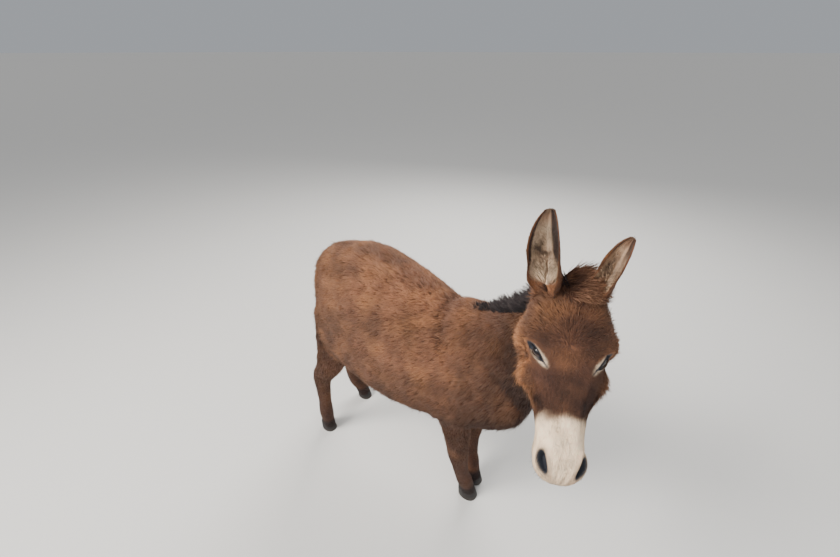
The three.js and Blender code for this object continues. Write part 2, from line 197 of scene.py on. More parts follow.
@dataclass
class Surface:
    """A closed surface: points and triangles that face outwards."""

    points: Array
    triangles: Array

    def corners(self) -> tuple[Array, Array, Array]:
        """The three corners of every triangle."""
        return tuple(self.points[self.triangles[:, k]] for k in range(3))

    def normals(self) -> Array:
        """Unit normals at the points: the area-weighted sum of the normals of the triangles round each."""
        a, b, c = self.corners()
        faces = np.cross(b - a, c - a)
        total = np.stack([
            sum(np.bincount(self.triangles[:, k], faces[:, j], len(self.points)) for k in range(3))
            for j in range(3)], -1)
        return unit(total)

    def outward(self) -> "Surface":
        """The surface with its triangles turned outwards, told by the sign of its volume."""
        a, b, c = self.corners()
        inside_out = dot(np.cross(a, b), c).sum() < 0
        return Surface(self.points, self.triangles[:, ::-1] if inside_out else self.triangles)

    def scatter(self, density: Array, rng: Chance) -> tuple[Array, Array]:
        """Spreads places over the surface.

        The running sum of area times density is cut into even steps, each with one place at random in it. A
        place in a triangle is a random mix of its corners, weights 1 - sqrt(u), sqrt(u)(1 - v) and sqrt(u)v.

        Args:
            density: places for each square millimetre, one value for each triangle.
            rng: the source of chance.

        Returns:
            The places and the surface's unit normals there.
        """
        a, b, c = self.corners()
        area = np.linalg.norm(np.cross(b - a, c - a), axis=-1) / 2
        running = np.cumsum(area * density)
        count = int(running[-1])
        chosen = np.searchsorted(running, (np.arange(count) + rng.random(count)) * running[-1] / count)
        chosen = np.minimum(chosen, len(running) - 1)
        u, v = np.sqrt(rng.random((count, 1))), rng.random((count, 1))
        weights = np.concatenate([1 - u, u * (1 - v), u * v], 1)[..., None]
        rows = self.triangles[chosen]
        return (self.points[rows] * weights).sum(1), unit((self.normals()[rows] * weights).sum(1))


def halved(a: Array, b: Array, c: Array, d: Array) -> Array:
    """The triangles abc and acd of four-cornered faces, as rows of point numbers."""
    return np.concatenate([np.stack([a, b, c], -1).reshape(-1, 3), np.stack([a, c, d], -1).reshape(-1, 3)])


def stacked(rings: Array, first: Array, last: Array) -> Surface:
    """A closed surface from rings of equal length, closed at each end by a fan to a pole.

    Args:
        rings: points, shaped (rings, around, 3), going round anticlockwise as seen from the last ring's side.
        first: the pole before the first ring.
        last: the pole after the last ring.

    Returns:
        The closed surface.
    """
    count, around = rings.shape[:2]
    here = np.arange(around)
    there = (here + 1) % around
    base = np.arange(count - 1)[:, None] * around
    a, b = base + here, base + there
    c, d = b + around, a + around
    pole, end = count * around, (count - 1) * around
    triangles = np.concatenate([
        halved(a, b, c, d),
        np.stack([np.full(around, pole), there, here], -1),
        np.stack([np.full(around, pole + 1), end + here, end + there], -1)])
    return Surface(np.concatenate([rings.reshape(-1, 3), [first, last]]), triangles)


def looped(grid: Array) -> Surface:
    """A ring-shaped surface from a grid, shaped (along, around, 3), that joins up in both directions."""
    n, m = grid.shape[:2]
    i, j = np.meshgrid(np.arange(n), np.arange(m), indexing="ij")
    ii, jj = (i + 1) % n, (j + 1) % m
    return Surface(grid.reshape(-1, 3), halved(i * m + j, i * m + jj, ii * m + jj, ii * m + j))


# ---------- lofts: the sections of the body carried along its paths ----------


@dataclass
class Frames:
    """Frames along a path: centre, forward, side and up, and the half width, reach up and reach down."""

    centre: Array
    along: Array
    side: Array
    up: Array
    size: Array


@dataclass
class Spots:
    """Where points lie on a loft: place along it, turn from its top, side, distance out and direction."""

    t: Array
    turn: Array
    side: Array
    out: Array
    along: Array


@dataclass
class Loft:
    """Superellipse sections carried along a smooth path, rounded off at both ends."""

    centres: Array
    girths: Array
    sides: Array
    power: float
    first_cap: float
    last_cap: float
    roofs: Array | None = None
    thinnest: float = 0.25
    samples: int = 90

    def frames(self, t: Array) -> Frames:
        """One frame for each place along the path; over the share s of a cap it shrinks by sqrt(1 - s^2)."""
        step = 1e-4
        along = unit(catmull(self.centres, t + step) - catmull(self.centres, t - step))
        side = flattened(catmull(self.sides, t), along)
        near = np.maximum.reduce([np.zeros_like(t), 1 - t / self.first_cap, 1 - (1 - t) / self.last_cap])
        size = catmull(self.girths, t) * np.sqrt(1 - np.minimum(near, 1.0) ** 2)[:, None]
        return Frames(catmull(self.centres, t), along, side, np.cross(along, side), size)

    def powers(self, t: Array, upper: Array) -> Array:
        """How square the sections are at places along the path; roofs says it for their upper halves."""
        if self.roofs is None:
            return np.full(np.broadcast(t, upper).shape, self.power)
        roof = catmull(self.roofs[:, None], t.ravel())[:, 0].reshape(t.shape)
        return np.where(upper, roof, self.power)

    def surface(self, rings: int, around: int, raised: Callable[[Array, Array, Array], Array]) -> Surface:
        """The loft's closed surface.

        A point is centre + reach. The reach at angle a is side * half * x + up * height * y, with x and y the
        cosine and sine of a to the power of 2 / power. Its length then grows by raised.

        Args:
            rings: sections along the path.
            around: points round a section.
            raised: how far the surface stands out, from the place along it, the turn and the bare point.

        Returns:
            The closed surface.
        """
        t = (np.arange(rings) + 0.5) / rings
        f = self.frames(t)
        angle = circle(around)
        c, s = np.cos(angle)[None], np.sin(angle)[None]
        power = 2 / self.powers(t[:, None], s > 0)
        x, y = signed_power(c, power), signed_power(s, power)
        height = np.where(s > 0, f.size[:, 1:2], f.size[:, 2:3]) * y
        reach = f.side[:, None] * (f.size[:, :1] * x)[..., None] + f.up[:, None] * height[..., None]
        length = np.linalg.norm(reach, axis=-1)
        turn = np.broadcast_to(from_top(angle), length.shape)
        bare = f.centre[:, None] + reach
        grown = length + raised(np.broadcast_to(t[:, None], length.shape), turn, bare)
        grown = np.maximum(grown, self.thinnest * length)
        points = f.centre[:, None] + unit(reach) * grown[..., None]
        ends = [points[k].mean(0) for k in (0, -1)]
        return stacked(points, *ends)

    def locate(self, points: Array) -> Spots:
        """Finds where points lie on the loft, from the nearest of many frames along its path.

        In that frame a and b are the offsets to the side and up, each divided by the section's own reach. The
        distance out is (|a|^p + |b|^p)^(1/p) - 1 times the mean reach, plus the way past the frame.

        Args:
            points: the points, one row each.

        Returns:
            The places on the loft.
        """
        t = (np.arange(self.samples) + 0.5) / self.samples
        f = self.frames(t)
        found = np.concatenate([
            ((some[:, None] - f.centre) ** 2).sum(-1).argmin(1) for some in np.array_split(points, CHUNKS)])
        offset = points - f.centre[found]
        size = np.maximum(f.size[found], LEAST_REACH)
        high = dot(offset, f.up[found])
        a = dot(offset, f.side[found]) / size[:, 0]
        b = high / np.where(high > 0, size[:, 1], size[:, 2])
        power = self.powers(t[found], high > 0)
        ring = (np.abs(a) ** power + np.abs(b) ** power) ** (1 / power)
        past = np.maximum(np.abs(dot(offset, f.along[found])) - END_SLACK, 0.0)
        out = (ring - 1) * size.mean(-1) + past
        turn = from_top(np.arctan2(signed_power(b, power / 2), signed_power(a, power / 2)))
        return Spots(t[found], folded(turn), np.sign(a), out, f.along[found])


# ---------- the animal's measures ----------


TRUNK = np.array([  # x, heights of back, widest level and belly, half width, squareness of the top
    (-392, 922, 785, 690, 80, 2.2), (-345, 1006, 790, 600, 132, 2.2), (-280, 1042, 785, 560, 180, 2.2),
    (-190, 1055, 765, 520, 216, 2.2), (-80, 1026, 720, 476, 234, 2.05), (60, 984, 680, 460, 242, 1.85),
    (190, 950, 665, 474, 232, 1.7), (290, 944, 665, 484, 208, 1.65), (380, 938, 675, 488, 182, 1.8),
    (460, 900, 685, 500, 154, 2.2), (530, 840, 692, 548, 116, 2.3), (575, 780, 695, 615, 72, 2.3)])
NECK = np.array([  # centre, half width, reach to the crest and to the throat
    (300, 0, 780, 150, 180, 262), (400, -5, 835, 120, 142, 252), (490, -23, 900, 96, 118, 202),
    (556, -43, 970, 82, 100, 152), (600, -57, 1035, 74, 86, 118), (626, -66, 1084, 62, 68, 88)])
HEAD = np.array([  # distance from the poll, widest level, half width, reach to the face and to the jaw
    (-42, -72, 58, 44, 46), (5, -62, 90, 64, 84), (62, -58, 108, 68, 138), (125, -56, 114, 62, 158),
    (185, -58, 106, 58, 142), (245, -62, 86, 60, 112), (305, -62, 66, 57, 84), (365, -62, 60, 52, 66),
    (418, -64, 60, 46, 58), (474, -80, 47, 40, 42)])
FORE_GIRTH = np.array([  # height, half length fore and aft, half width
    (740, 96, 54), (620, 88, 56), (520, 74, 56), (420, 60, 51), (340, 52, 45), (290, 49, 43), (225, 40, 37),
    (150, 36, 33), (108, 38, 35), (72, 34, 33), (20, 38, 34)])
HIND_GIRTH = np.array([
    (780, 108, 72), (700, 104, 70), (640, 96, 66), (560, 84, 58), (480, 66, 50), (430, 54, 42), (375, 50, 36),
    (305, 39, 33), (200, 35, 31), (118, 38, 34), (76, 34, 31), (20, 36, 31)])
FORE_HOOF = (42.0, 35.0)  # half length and half width of the sole
HIND_HOOF = (39.0, 32.0)
FORE_RIGHT = np.array([  # middle of each leg at the heights of its girths, x and y; the last is the hoof's
    (330, -110), (322, -116), (322, -108), (330, -97), (332, -87), (334, -82), (340, -74), (349, -62),
    (358, -53), (366, -45), (374, -37)])
FORE_LEFT = np.array([
    (330, 110), (320, 116), (318, 110), (318, 97), (318, 85), (318, 78), (320, 66), (330, 54), (340, 48),
    (350, 43), (360, 39)])
HIND_RIGHT = np.array([
    (-240, -104), (-251, -112), (-264, -122), (-279, -130), (-305, -140), (-330, -148), (-357, -150),
    (-366, -147), (-377, -141), (-386, -136), (-388, -132), (-390, -128)])
HIND_LEFT = np.array([
    (-240, 104), (-251, 112), (-268, 118), (-300, 116), (-350, 106), (-385, 100), (-415, 100), (-430, 101),
    (-438, 108), (-425, 121), (-406, 132), (-384, 142)])
TAIL = np.array([  # centre and half width of the tail with its hair
    (-350, 0, 925, 34), (-402, 0, 892, 28), (-426, 0, 820, 23), (-432, 0, 730, 21), (-428, 0, 630, 30),
    (-424, 0, 520, 34), (-424, 0, 420, 13)])
MANE = np.array([  # centre of the mane's foot along the crest, half thickness and height
    (330, 0, 944, 11, 22), (400, -6, 968, 16, 40), (462, -26, 1004, 19, 52), (515, -50, 1050, 20, 56),
    (556, -68, 1100, 21, 58), (590, -83, 1148, 21, 54), (620, -72, 1172, 18, 38)])
SWELLS = np.array([  # soft forms of the head: place along it, turn from the top, how far out, spreads of both
    (128, 52, 12, 24, 24), (170, 56, -17, 18, 13), (240, 96, 5, 40, 12), (190, 118, 14, 75, 26),
    (424, 52, 8, 26, 26), (20, 0, 12, 40, 40), (110, 80, 6, 36, 24), (128, 84, 6, 18, 16),
    (180, 86, -12, 17, 18), (228, 90, 8, 24, 16)])
DETAILS = np.array([  # finer forms: temple, cheek's crest, edge of the nose, hollow by it, nose, lips and jaw
    (104, 36, -4, 16, 12), (232, 82, 6, 40, 7), (262, 27, 3.5, 70, 8), (286, 54, -6, 46, 13),
    (300, 0, 2, 60, 12), (396, 22, 3, 20, 10), (352, 96, -3, 30, 16), (300, 150, -4, 40, 22),
    (452, 150, 4, 14, 30), (440, 0, -2, 20, 7)])
EAR = np.array([  # share of the length, half width, half angle of the cup, hollowness, place of the spine
    (0, 27, 125, 0, -8), (0.14, 31, 128, 0.25, -10), (0.28, 39, 120, 0.8, -11), (0.44, 37, 100, 1, -11),
    (0.6, 38, 88, 1, -9), (0.76, 33, 78, 1, -6), (0.9, 24, 72, 1, -3), (0.985, 13, 66, 1, -1)])
THIN, DEEP = 2.2, 11.0  # depth of the coat on the nose and on the forehead
NOSE_CREASES = 461  # place along the head of the fine creases over the nose's end
WHORL = 150.0  # place along the head of the whorl from which its hair parts
BROW_LOCKS = Patch(126, 86, 24, 18)
CHEEK_LOCKS = Patch(228, 94, 26, 16)
EYE_SOCKET = Patch(168, 54, 30, 20)
FAR = 99.0  # a distance that stands for out of reach
BACK_OF_EYE = 3.0  # how far from iris and pupil the back of the eyeball counts


class Part(Enum):
    """The parts of the body that the coat tells apart."""

    TRUNK = 0
    NECK = 1
    HEAD = 2
    FORE_RIGHT = 3
    FORE_LEFT = 4
    HIND_RIGHT = 5
    HIND_LEFT = 6
    TAIL = 7
    EAR_RIGHT = 8
    EAR_LEFT = 9


FORE_LEGS = (Part.FORE_RIGHT, Part.FORE_LEFT)
HIND_LEGS = (Part.HIND_RIGHT, Part.HIND_LEFT)
LEGS = FORE_LEGS + HIND_LEGS


@dataclass(frozen=True)
class Pose:
    """A place and turn in space: the head's, and what is carried with it."""

    origin: Array
    turn: Array

    def out(self, points: Array) -> Array:
        """Points of this frame in the tables' frame."""
        return points @ self.turn.T + self.origin

    def back(self, points: Array) -> Array:
        """Points of the tables' frame in this one."""
        return (points - self.origin) @ self.turn

    def within(self, origin: Sequence[float], turn: Array) -> "Pose":
        """A frame that is placed and turned in this one."""
        return Pose(self.out(np.array(origin, float)), self.turn @ turn)


HEAD_POSE = Pose(np.array([638.5, -83.0, 1166.0]), turned(2, -68.5) @ turned(1, 44) @ turned(0, -7))


@dataclass(frozen=True)
class Eye:
    """One eye in the head's frame, x down the face: its ball, its slit and the lids round it.

    The opening has the slit's half sizes, the tear line its place along the slit and its half sizes, the pale
    rim its middle and its half sizes, and the lid its half sizes and its height.
    """

    side: int
    at: tuple[float, float, float] = (168.0, 72.0, -35.0)
    ball: tuple[float, float, float] = (25.0, 21.0, 21.0)
    gaze: tuple[float, float, float] = (0.08, 0.66, 0.75)
    slant: float = 41.0
    opening: tuple[float, float] = (28.0, 9.4)
    tear: tuple[float, float, float] = (33.0, 17.0, 2.2)
    rim: tuple[float, float, float, float] = (12.0, -0.5, 39.0, 13.5)
    lid: tuple[float, float, float] = (47.0, 31.0, 25.5)
    sharp: float = 1.35
    lifts: tuple[float, float] = (0.72, 1.15)
    drop: float = 1.0
    rear: float = -4.0
    iris: float = 13.0
    pupil: tuple[float, float] = (8.5, 4.0)

    def pose(self) -> Pose:
        """The eye's frame: x along the slit to the inner corner, y across it to the brow, z outwards."""
        x, y, z = self.at
        out = unit(np.array([self.gaze[0], self.side * self.gaze[1], self.gaze[2]]))
        nose = flattened(np.array([1.0, 0.0, 0.0]), out)
        middle = flattened(np.array([0.0, -float(self.side), 0.0]), out)
        slant = math.radians(self.slant)
        slit = unit(nose * math.cos(slant) + middle * math.sin(slant))
        brow = np.cross(out, slit) * -self.side
        return HEAD_POSE.within((x, self.side * y, z), np.stack([slit, brow, out], -1))

    def height(self, p: Array, q: Array) -> Array:
        """The lids' height over the eye's centre: the top times 1 - (p / a)^2 - (q / b)^2."""
        a, b, top = self.lid
        return top * (1 - (p / a) ** 2 - (q / b) ** 2)

    def edge(self, c: Array, s: Array, shift: float) -> tuple[Array, Array]:
        """The slit's almond: half length times c, and half height times s^sharp, moved up by shift."""
        long, high = self.opening
        return long * c, high * np.where(s > 0, *self.lifts) * signed_power(s, self.sharp) + shift

    def lids(self) -> Surface:
        """Both lids as one closed ring round the slit.

        At each angle the ring's outline runs from the lid's edge out over the lid to its foot under the skin,
        and back beneath. The foot is an ellipse a little smaller than the lid.
        """
        angle = circle(84)
        c, s = np.cos(angle)[:, None], np.sin(angle)[:, None]
        edge_p, edge_q = self.edge(c, s, -self.drop)
        foot_p, foot_q = self.lid[0] * 0.98 * c, self.lid[1] * 0.98 * s
        over = [0.0, 0.02, 0.06, 0.12, 0.2, 0.32, 0.48, 0.66, 0.84, 1.0]
        share = np.array([*over, 1.0, 0.7, 0.4, 0.2, 0.06])[None]
        under = np.array([1.8, 0.5, *[0.0] * 8, 9.0, 8.0, 5.0, 4.0, 3.4])[None]
        p, q = blend(edge_p, foot_p, share), blend(edge_q, foot_q, share)
        fold = 1.6 * bell((share - 0.42) / 0.09, 1.0) * (s > 0) * np.abs(s)
        rim = 0.9 * bell((share - 0.07) / 0.06, 1.0)
        grid = np.stack([p, q, self.height(p, q) - under + (rim - fold) * (under == 0)], -1)
        if self.side > 0:
            grid = grid[:, ::-1]
        return looped(self.pose().out(grid))

    def nearness(self, points: Array) -> tuple[Array, Array]:
        """How near points lie to the eye.

        Args:
            points: the points.

        Returns:
            Distances from slit and tear line and from the pale rim, in ellipses that are 1 at their edges.
        """
        p, q, high = self.pose().back(points).T
        long, wide = self.opening
        slit = np.hypot(p / long, (q + self.drop) / wide)
        start, reach, thin = self.tear
        slit = np.minimum(slit, np.hypot((p - start) / reach, (q + self.drop) / thin))
        x, y, long, wide = self.rim
        rim = np.hypot((p - x) / long, (q - y) / wide)
        front = high > self.rear
        return np.where(front, slit, FAR), np.where(front, rim, FAR)

    def ball_surface(self) -> tuple[Surface, dict[str, Array]]:
        """The eyeball: an ellipsoid with its poles on the gaze.

        Returns:
            Its surface, and the distances from the middle of iris and pupil, 1 at their edges.
        """
        a, b, c = self.ball
        rise = (np.linspace(-0.5, 0.5, 34)[1:-1] * math.pi)[:, None]
        turn = circle(48)
        ring = np.stack(np.broadcast_arrays(
            a * np.cos(rise) * np.cos(turn), b * np.cos(rise) * np.sin(turn), c * np.sin(rise)), -1)
        ball = stacked(ring, np.array([0, 0, -c]), np.array([0, 0, c]))
        p, q, high = ball.points.T
        long, wide = self.pupil
        rings = {
            "ring": np.where(high > 0, np.hypot(p, q) / self.iris, BACK_OF_EYE),
            "pupil": np.where(high > 0, np.hypot(p / long, q / wide), BACK_OF_EYE),
        }
        return Surface(self.pose().out(ball.points), ball.triangles).outward(), rings

    def build(self, name: str, finish: Material) -> None:
        """Makes the eyeball of one side and dresses it."""
        surface, rings = self.ball_surface()
        settle(make_mesh(f"eyeball_{name}", surface, rings), (f"eye_{name}",), finish)


@dataclass(frozen=True)
class EarShape:
    """One ear: a cup carried up its length, solid at the root, placed on the head.

    It leans out and back and is turned by degrees, and its tip bends to the left. A point is on the ear when
    it is near it, above its foot and within its sides.
    """

    root: tuple[float, float, float]
    out: float
    back: float
    turn: float
    open: float
    bend: float
    length: float = 263.0
    wall: float = 7.0
    ribs: float = 0.8
    rings: int = 84
    spans: int = 30
    near: float = 5.0
    foot: float = 0.02
    sides: float = 1.15

    def pose(self) -> Pose:
        """The ear's frame: z from root to tip, x out of its opening."""
        lean = turned(1, -self.back) @ turned(0, -self.out * np.sign(self.root[1])) @ turned(2, -self.turn)
        return HEAD_POSE.within(self.root, lean)

    def sections(self, t: Array) -> tuple[Array, ...]:
        """Height, half angle, radius, place of the spine and hollowness at places along the ear."""
        share, half, sweep, hollow, spine = np.moveaxis(catmull(EAR, t), -1, 0)
        reach = np.radians(sweep)
        radius = half * self.open / np.sin(np.minimum(reach, math.pi / 2))
        return share * self.length, reach, radius, spine, np.clip(hollow, 0, 1)

    def shift(self, high: Array) -> Array:
        """How far the ear has bent to the left by a height up it."""
        return self.bend * np.clip(high / self.length, 0, 1) ** 3

    def surface(self, inset: float) -> Surface:
        """The cup: an arc of the back, and an arc one wall inside it that is a straight chord at the root.

        A point at angle a and length l is (spine + radius - l cos a, l sin a + bend s^3, height), s being the
        share of the ear's length.

        Args:
            inset: how far the surface lies inside the ear's outline.

        Returns:
            The closed surface.
        """
        t = np.linspace(0, 1, self.rings)[:, None]
        high, reach, radius, spine, hollow = self.sections(t)

        def point(angle: Array, length: Array) -> Array:
            """The point at an angle and a length from the cup's axis."""
            return np.stack(np.broadcast_arrays(
                spine + radius - np.cos(angle) * length, np.sin(angle) * length + self.shift(high), high), -1)

        whole = np.arange(self.spans + 1)[None] / self.spans
        back = point(reach * (1 - 2 * whole), radius - inset)
        part = whole[:, 1:-1]
        wall = np.minimum(self.wall, radius * 0.5) - inset
        ribs = self.ribs * np.sin(part * math.pi * 7) * ease(t, 0.2, 0.4)
        chord = blend(point(-reach, radius - inset), point(reach, radius - inset), part[..., None])
        cup = point(-reach * (1 - 2 * part), radius - inset - wall * np.sin(math.pi * part) ** 0.5 - ribs)
        ring = np.concatenate([back, blend(chord, cup, hollow[..., None])], 1)
        tip = ring[-1].mean(0) + np.array([0, 0, self.length * 0.008])
        shape = stacked(ring, ring[0].mean(0), tip)
        return Surface(self.pose().out(shape.points), shape.triangles)

    def locate(self, points: Array) -> tuple[Array, Array, Array, Array]:
        """Finds where points lie on the ear.

        Args:
            points: the points.

        Returns:
            The share of the length, that of the cup's half angle, the distance out, and whether it is inside.
        """
        local = self.pose().back(points)
        steps = np.linspace(0, 1, 60)
        high, reach, radius, spine, _ = self.sections(steps)
        z = local[:, 2]
        reach, radius, spine = (np.interp(z, high, values) for values in (reach, radius, spine))
        x, y = spine + radius - local[:, 0], local[:, 1] - self.shift(z)
        away = np.hypot(x, y)
        share = np.arctan2(y, x) / reach
        over = np.maximum(np.maximum(-z, z - self.length), 0)
        inside = away < radius - self.wall * 0.5
        return z / self.length, share, np.where(away > radius, away - radius, 0) + over, inside


EARS = {
    Part.EAR_RIGHT: EarShape((2, -50, -44), 21.2, 34.6, 25, 1.13, 29),
    Part.EAR_LEFT: EarShape((2, 72, -44), -6.6, 17.7, 48.4, 0.76, 11),
}
EYES = {"right": Eye(-1), "left": Eye(1)}


@dataclass(frozen=True)
class Mouth:
    """The line between the lips: it leaves the corner and falls towards the front, in the head's frame."""

    corner: float = 398.0
    level: float = -97.0
    slope: float = 14.0
    gap: float = 2.6
    depth: float = 6.5
    upper_lip: float = 2.6
    lower_lip: float = 2.2

    def over(self, x: Array, z: Array) -> Array:
        """Height over the line."""
        return z - self.level + (x - self.corner) * math.tan(math.radians(self.slope))

    def relief(self, x: Array, z: Array) -> Array:
        """A groove along the line, between two soft lips: bells across it that fade in past the corner."""
        over, fade = self.over(x, z), ease(x, self.corner - 22, self.corner + 8)
        lips = self.upper_lip * bell(over - 10, 6.0) + self.lower_lip * bell(over + 9, 5.0)
        return fade * (lips - self.depth * bell(over, self.gap))


@dataclass(frozen=True)
class Nostril:
    """A nostril: a slanting comma of an opening in the side of the muzzle."""

    x: float = 424.0
    turn: float = 42.0
    long: float = 27.0
    wide: float = 12.5
    slant: float = -0.22
    curve: float = 0.004
    depth: float = 25.0
    rim: float = 5.0

    def ring(self, x: Array, turn: Array) -> Array:
        """Distance from the middle in the opening's own ellipses: 1 on its rim."""
        along, across = x - self.x, turn - self.turn
        bent = across - self.slant * along + self.curve * along**2
        return np.hypot(along / self.long, bent / self.wide)

    def relief(self, x: Array, turn: Array) -> Array:
        """A pit that falls off inside the rim, and a soft rim round it."""
        ring = self.ring(x, turn)
        return self.rim * bell(ring - 1.15, 0.28) - self.depth * (1 - ease(ring, 0.25, 1.0))


MOUTH = Mouth()
NOSTRIL = Nostril()


def head_depth(x: Array, turn: Array) -> Array:
    """Depth of the coat on the head: deep on forehead, temples and cheeks, thin on nose, eyes and muzzle."""
    deep = DEEP * (1 - ease(x, 60, 205) * (1 - ease(turn, 55, 95)))
    deep = deep * (1 - ease(x, 260, 340)) + THIN
    return deep * (1 - 0.85 * EYE_SOCKET(x, turn))


def head_relief(x: Array, turn: Array, z: Array) -> Array:
    """How far the head's skin stands out of its plain loft.

    It is the sum of a bell along the head times one round it for each soft form, the creases over the nose's
    end, the nostrils and the mouth, less the depth of the coat.

    Args:
        x: places along the head.
        turn: turns round it, in degrees.
        z: heights in the head's frame.

    Returns:
        The rise at each place.
    """
    off = folded(turn)
    forms = np.concatenate([SWELLS, DETAILS])
    rise = sum(out * bell(x - at, along) * bell(off - to, wide) for at, to, out, along, wide in forms)
    creases = 1.3 * np.sin(off * 0.4 + 0.03 * x) * bell(x - NOSE_CREASES, 10) * (1 - ease(off, 60, 90))
    nostrils = ease(x, 375, 395) * NOSTRIL.relief(x, off)
    return rise + creases + nostrils + MOUTH.relief(x, z) - head_depth(x, off)


def level(rows: Array) -> Array:
    """Side directions of sections that all lie level with the animal's left, one for each row."""
    return np.tile(LEFT, (len(rows), 1))


def head_loft() -> Loft:
    """The head's sections in its own frame."""
    centres = np.stack([HEAD[:, 0], 0 * HEAD[:, 0], HEAD[:, 1]], -1)
    return Loft(centres, HEAD[:, 2:5], level(HEAD), 2.25, 0.09, 0.07)


def leg_loft(girth: Array, line: Array) -> Loft:
    """A leg's sections down its centre line."""
    centres = np.column_stack([line, girth[:, 0]])
    sizes = np.column_stack([girth[:, 2], girth[:, 1], girth[:, 1]])
    return Loft(centres, sizes, level(girth), 2.1, 0.05, 0.001)


def body_lofts() -> dict[Part, Loft]:
    """Every loft of the body but the head's, in the tables' frame."""
    x, back, widest, belly, half, roof = TRUNK.T
    sizes = np.stack([half, back - widest, widest - belly], -1)
    trunk = Loft(np.stack([x, 0 * x, widest], -1), sizes, level(TRUNK), 2.3, 0.09, 0.1, roof)
    share = np.maximum(0, (np.arange(len(NECK)) - 1) / (len(NECK) - 1))[:, None]
    sides = blend(LEFT, HEAD_POSE.turn @ LEFT, share)
    return {
        Part.TRUNK: trunk,
        Part.NECK: Loft(NECK[:, :3], NECK[:, 3:], sides, 2.2, 0.1, 0.12),
        Part.FORE_RIGHT: leg_loft(FORE_GIRTH, FORE_RIGHT),
        Part.FORE_LEFT: leg_loft(FORE_GIRTH, FORE_LEFT),
        Part.HIND_RIGHT: leg_loft(HIND_GIRTH, HIND_RIGHT),
        Part.HIND_LEFT: leg_loft(HIND_GIRTH, HIND_LEFT),
        Part.TAIL: Loft(TAIL[:, :3], np.repeat(TAIL[:, 3:4], 3, 1), level(TAIL), 2.1, 0.05, 0.08),
    }


BODY = body_lofts()
HEAD_LOFT = head_loft()


# ---------- where a point lies on the animal ----------


@dataclass
class Places:
    """What the coat and the markings ask of each point.

    That is its place on its part and in the head's frame, its shares of an ear's length and half angle and
    whether it is inside the ear, and its distances from the eyes' slits and pale rims.
    """

    points: Array
    part: Array
    t: Array
    turn: Array
    side: Array
    along: Array
    head: Array
    ear_share: Array
    ear_turn: Array
    ear_inside: Array
    eye: Array
    rim: Array

    def on(self, *parts: Part) -> Array:
        """Which points lie on the given parts."""
        return np.isin(self.part, [p.value for p in parts])


def find_places(points: Array) -> Places:
    """Finds each point's part, as the one whose surface it lies nearest to, and its place on that part.

    Args:
        points: points on or near the skin, in the tables' frame.

    Returns:
        The places.
    """
    head = HEAD_POSE.back(points)
    spots = {part: loft.locate(points) for part, loft in BODY.items()}
    on_head = HEAD_LOFT.locate(head)
    on_head.along = on_head.along @ HEAD_POSE.turn.T
    spots[Part.HEAD] = on_head
    best = np.stack([spot.out for spot in spots.values()]).argmin(0)
    rows = np.arange(len(points))

    def pick(name: str) -> Array:
        """One column of the chosen parts' spots."""
        return np.stack([getattr(spot, name) for spot in spots.values()])[best, rows]

    part = np.array([key.value for key in spots])[best]
    along = pick("along")
    share, angle, inside = np.zeros(len(points)), np.zeros(len(points)), np.zeros(len(points), bool)
    for ear_part, ear in EARS.items():
        s, a, out, within = ear.locate(points)
        mine = (out < ear.near) & (s > ear.foot) & (np.abs(a) < ear.sides) & (on_head.out > 1.0)
        part = np.where(mine, ear_part.value, part)
        along = np.where(mine[:, None], ear.pose().turn[:, 2], along)
        share = np.where(mine, s, share)
        angle = np.where(mine, a, angle)
        inside = np.where(mine, within, inside)
    slit, rim = np.min([eye.nearness(points) for eye in EYES.values()], axis=0)
    return Places(
        points, part, pick("t"), pick("turn"), pick("side"), along, head, share, angle, inside, slit, rim)


# ---------- markings and painted shade, alike for skin and coat ---


@dataclass
class Marks:
    """The coat's markings at each point, each 0 to 1; dark, pale and bare also carry painted shade."""

    pale: Array
    dark: Array
    warm: Array
    bare: Array
    shade: Array

    def chosen(self, rows: Array) -> "Marks":
        """The marks of some of the points."""
        return Marks(*(getattr(self, name)[rows] for name in MARKS))


MARKS = tuple(each.name for each in fields(Marks))
BROW_TUFT = Patch(128, 88, 20, 18)
CHEEK_TUFT = Patch(226, 90, 24, 18)


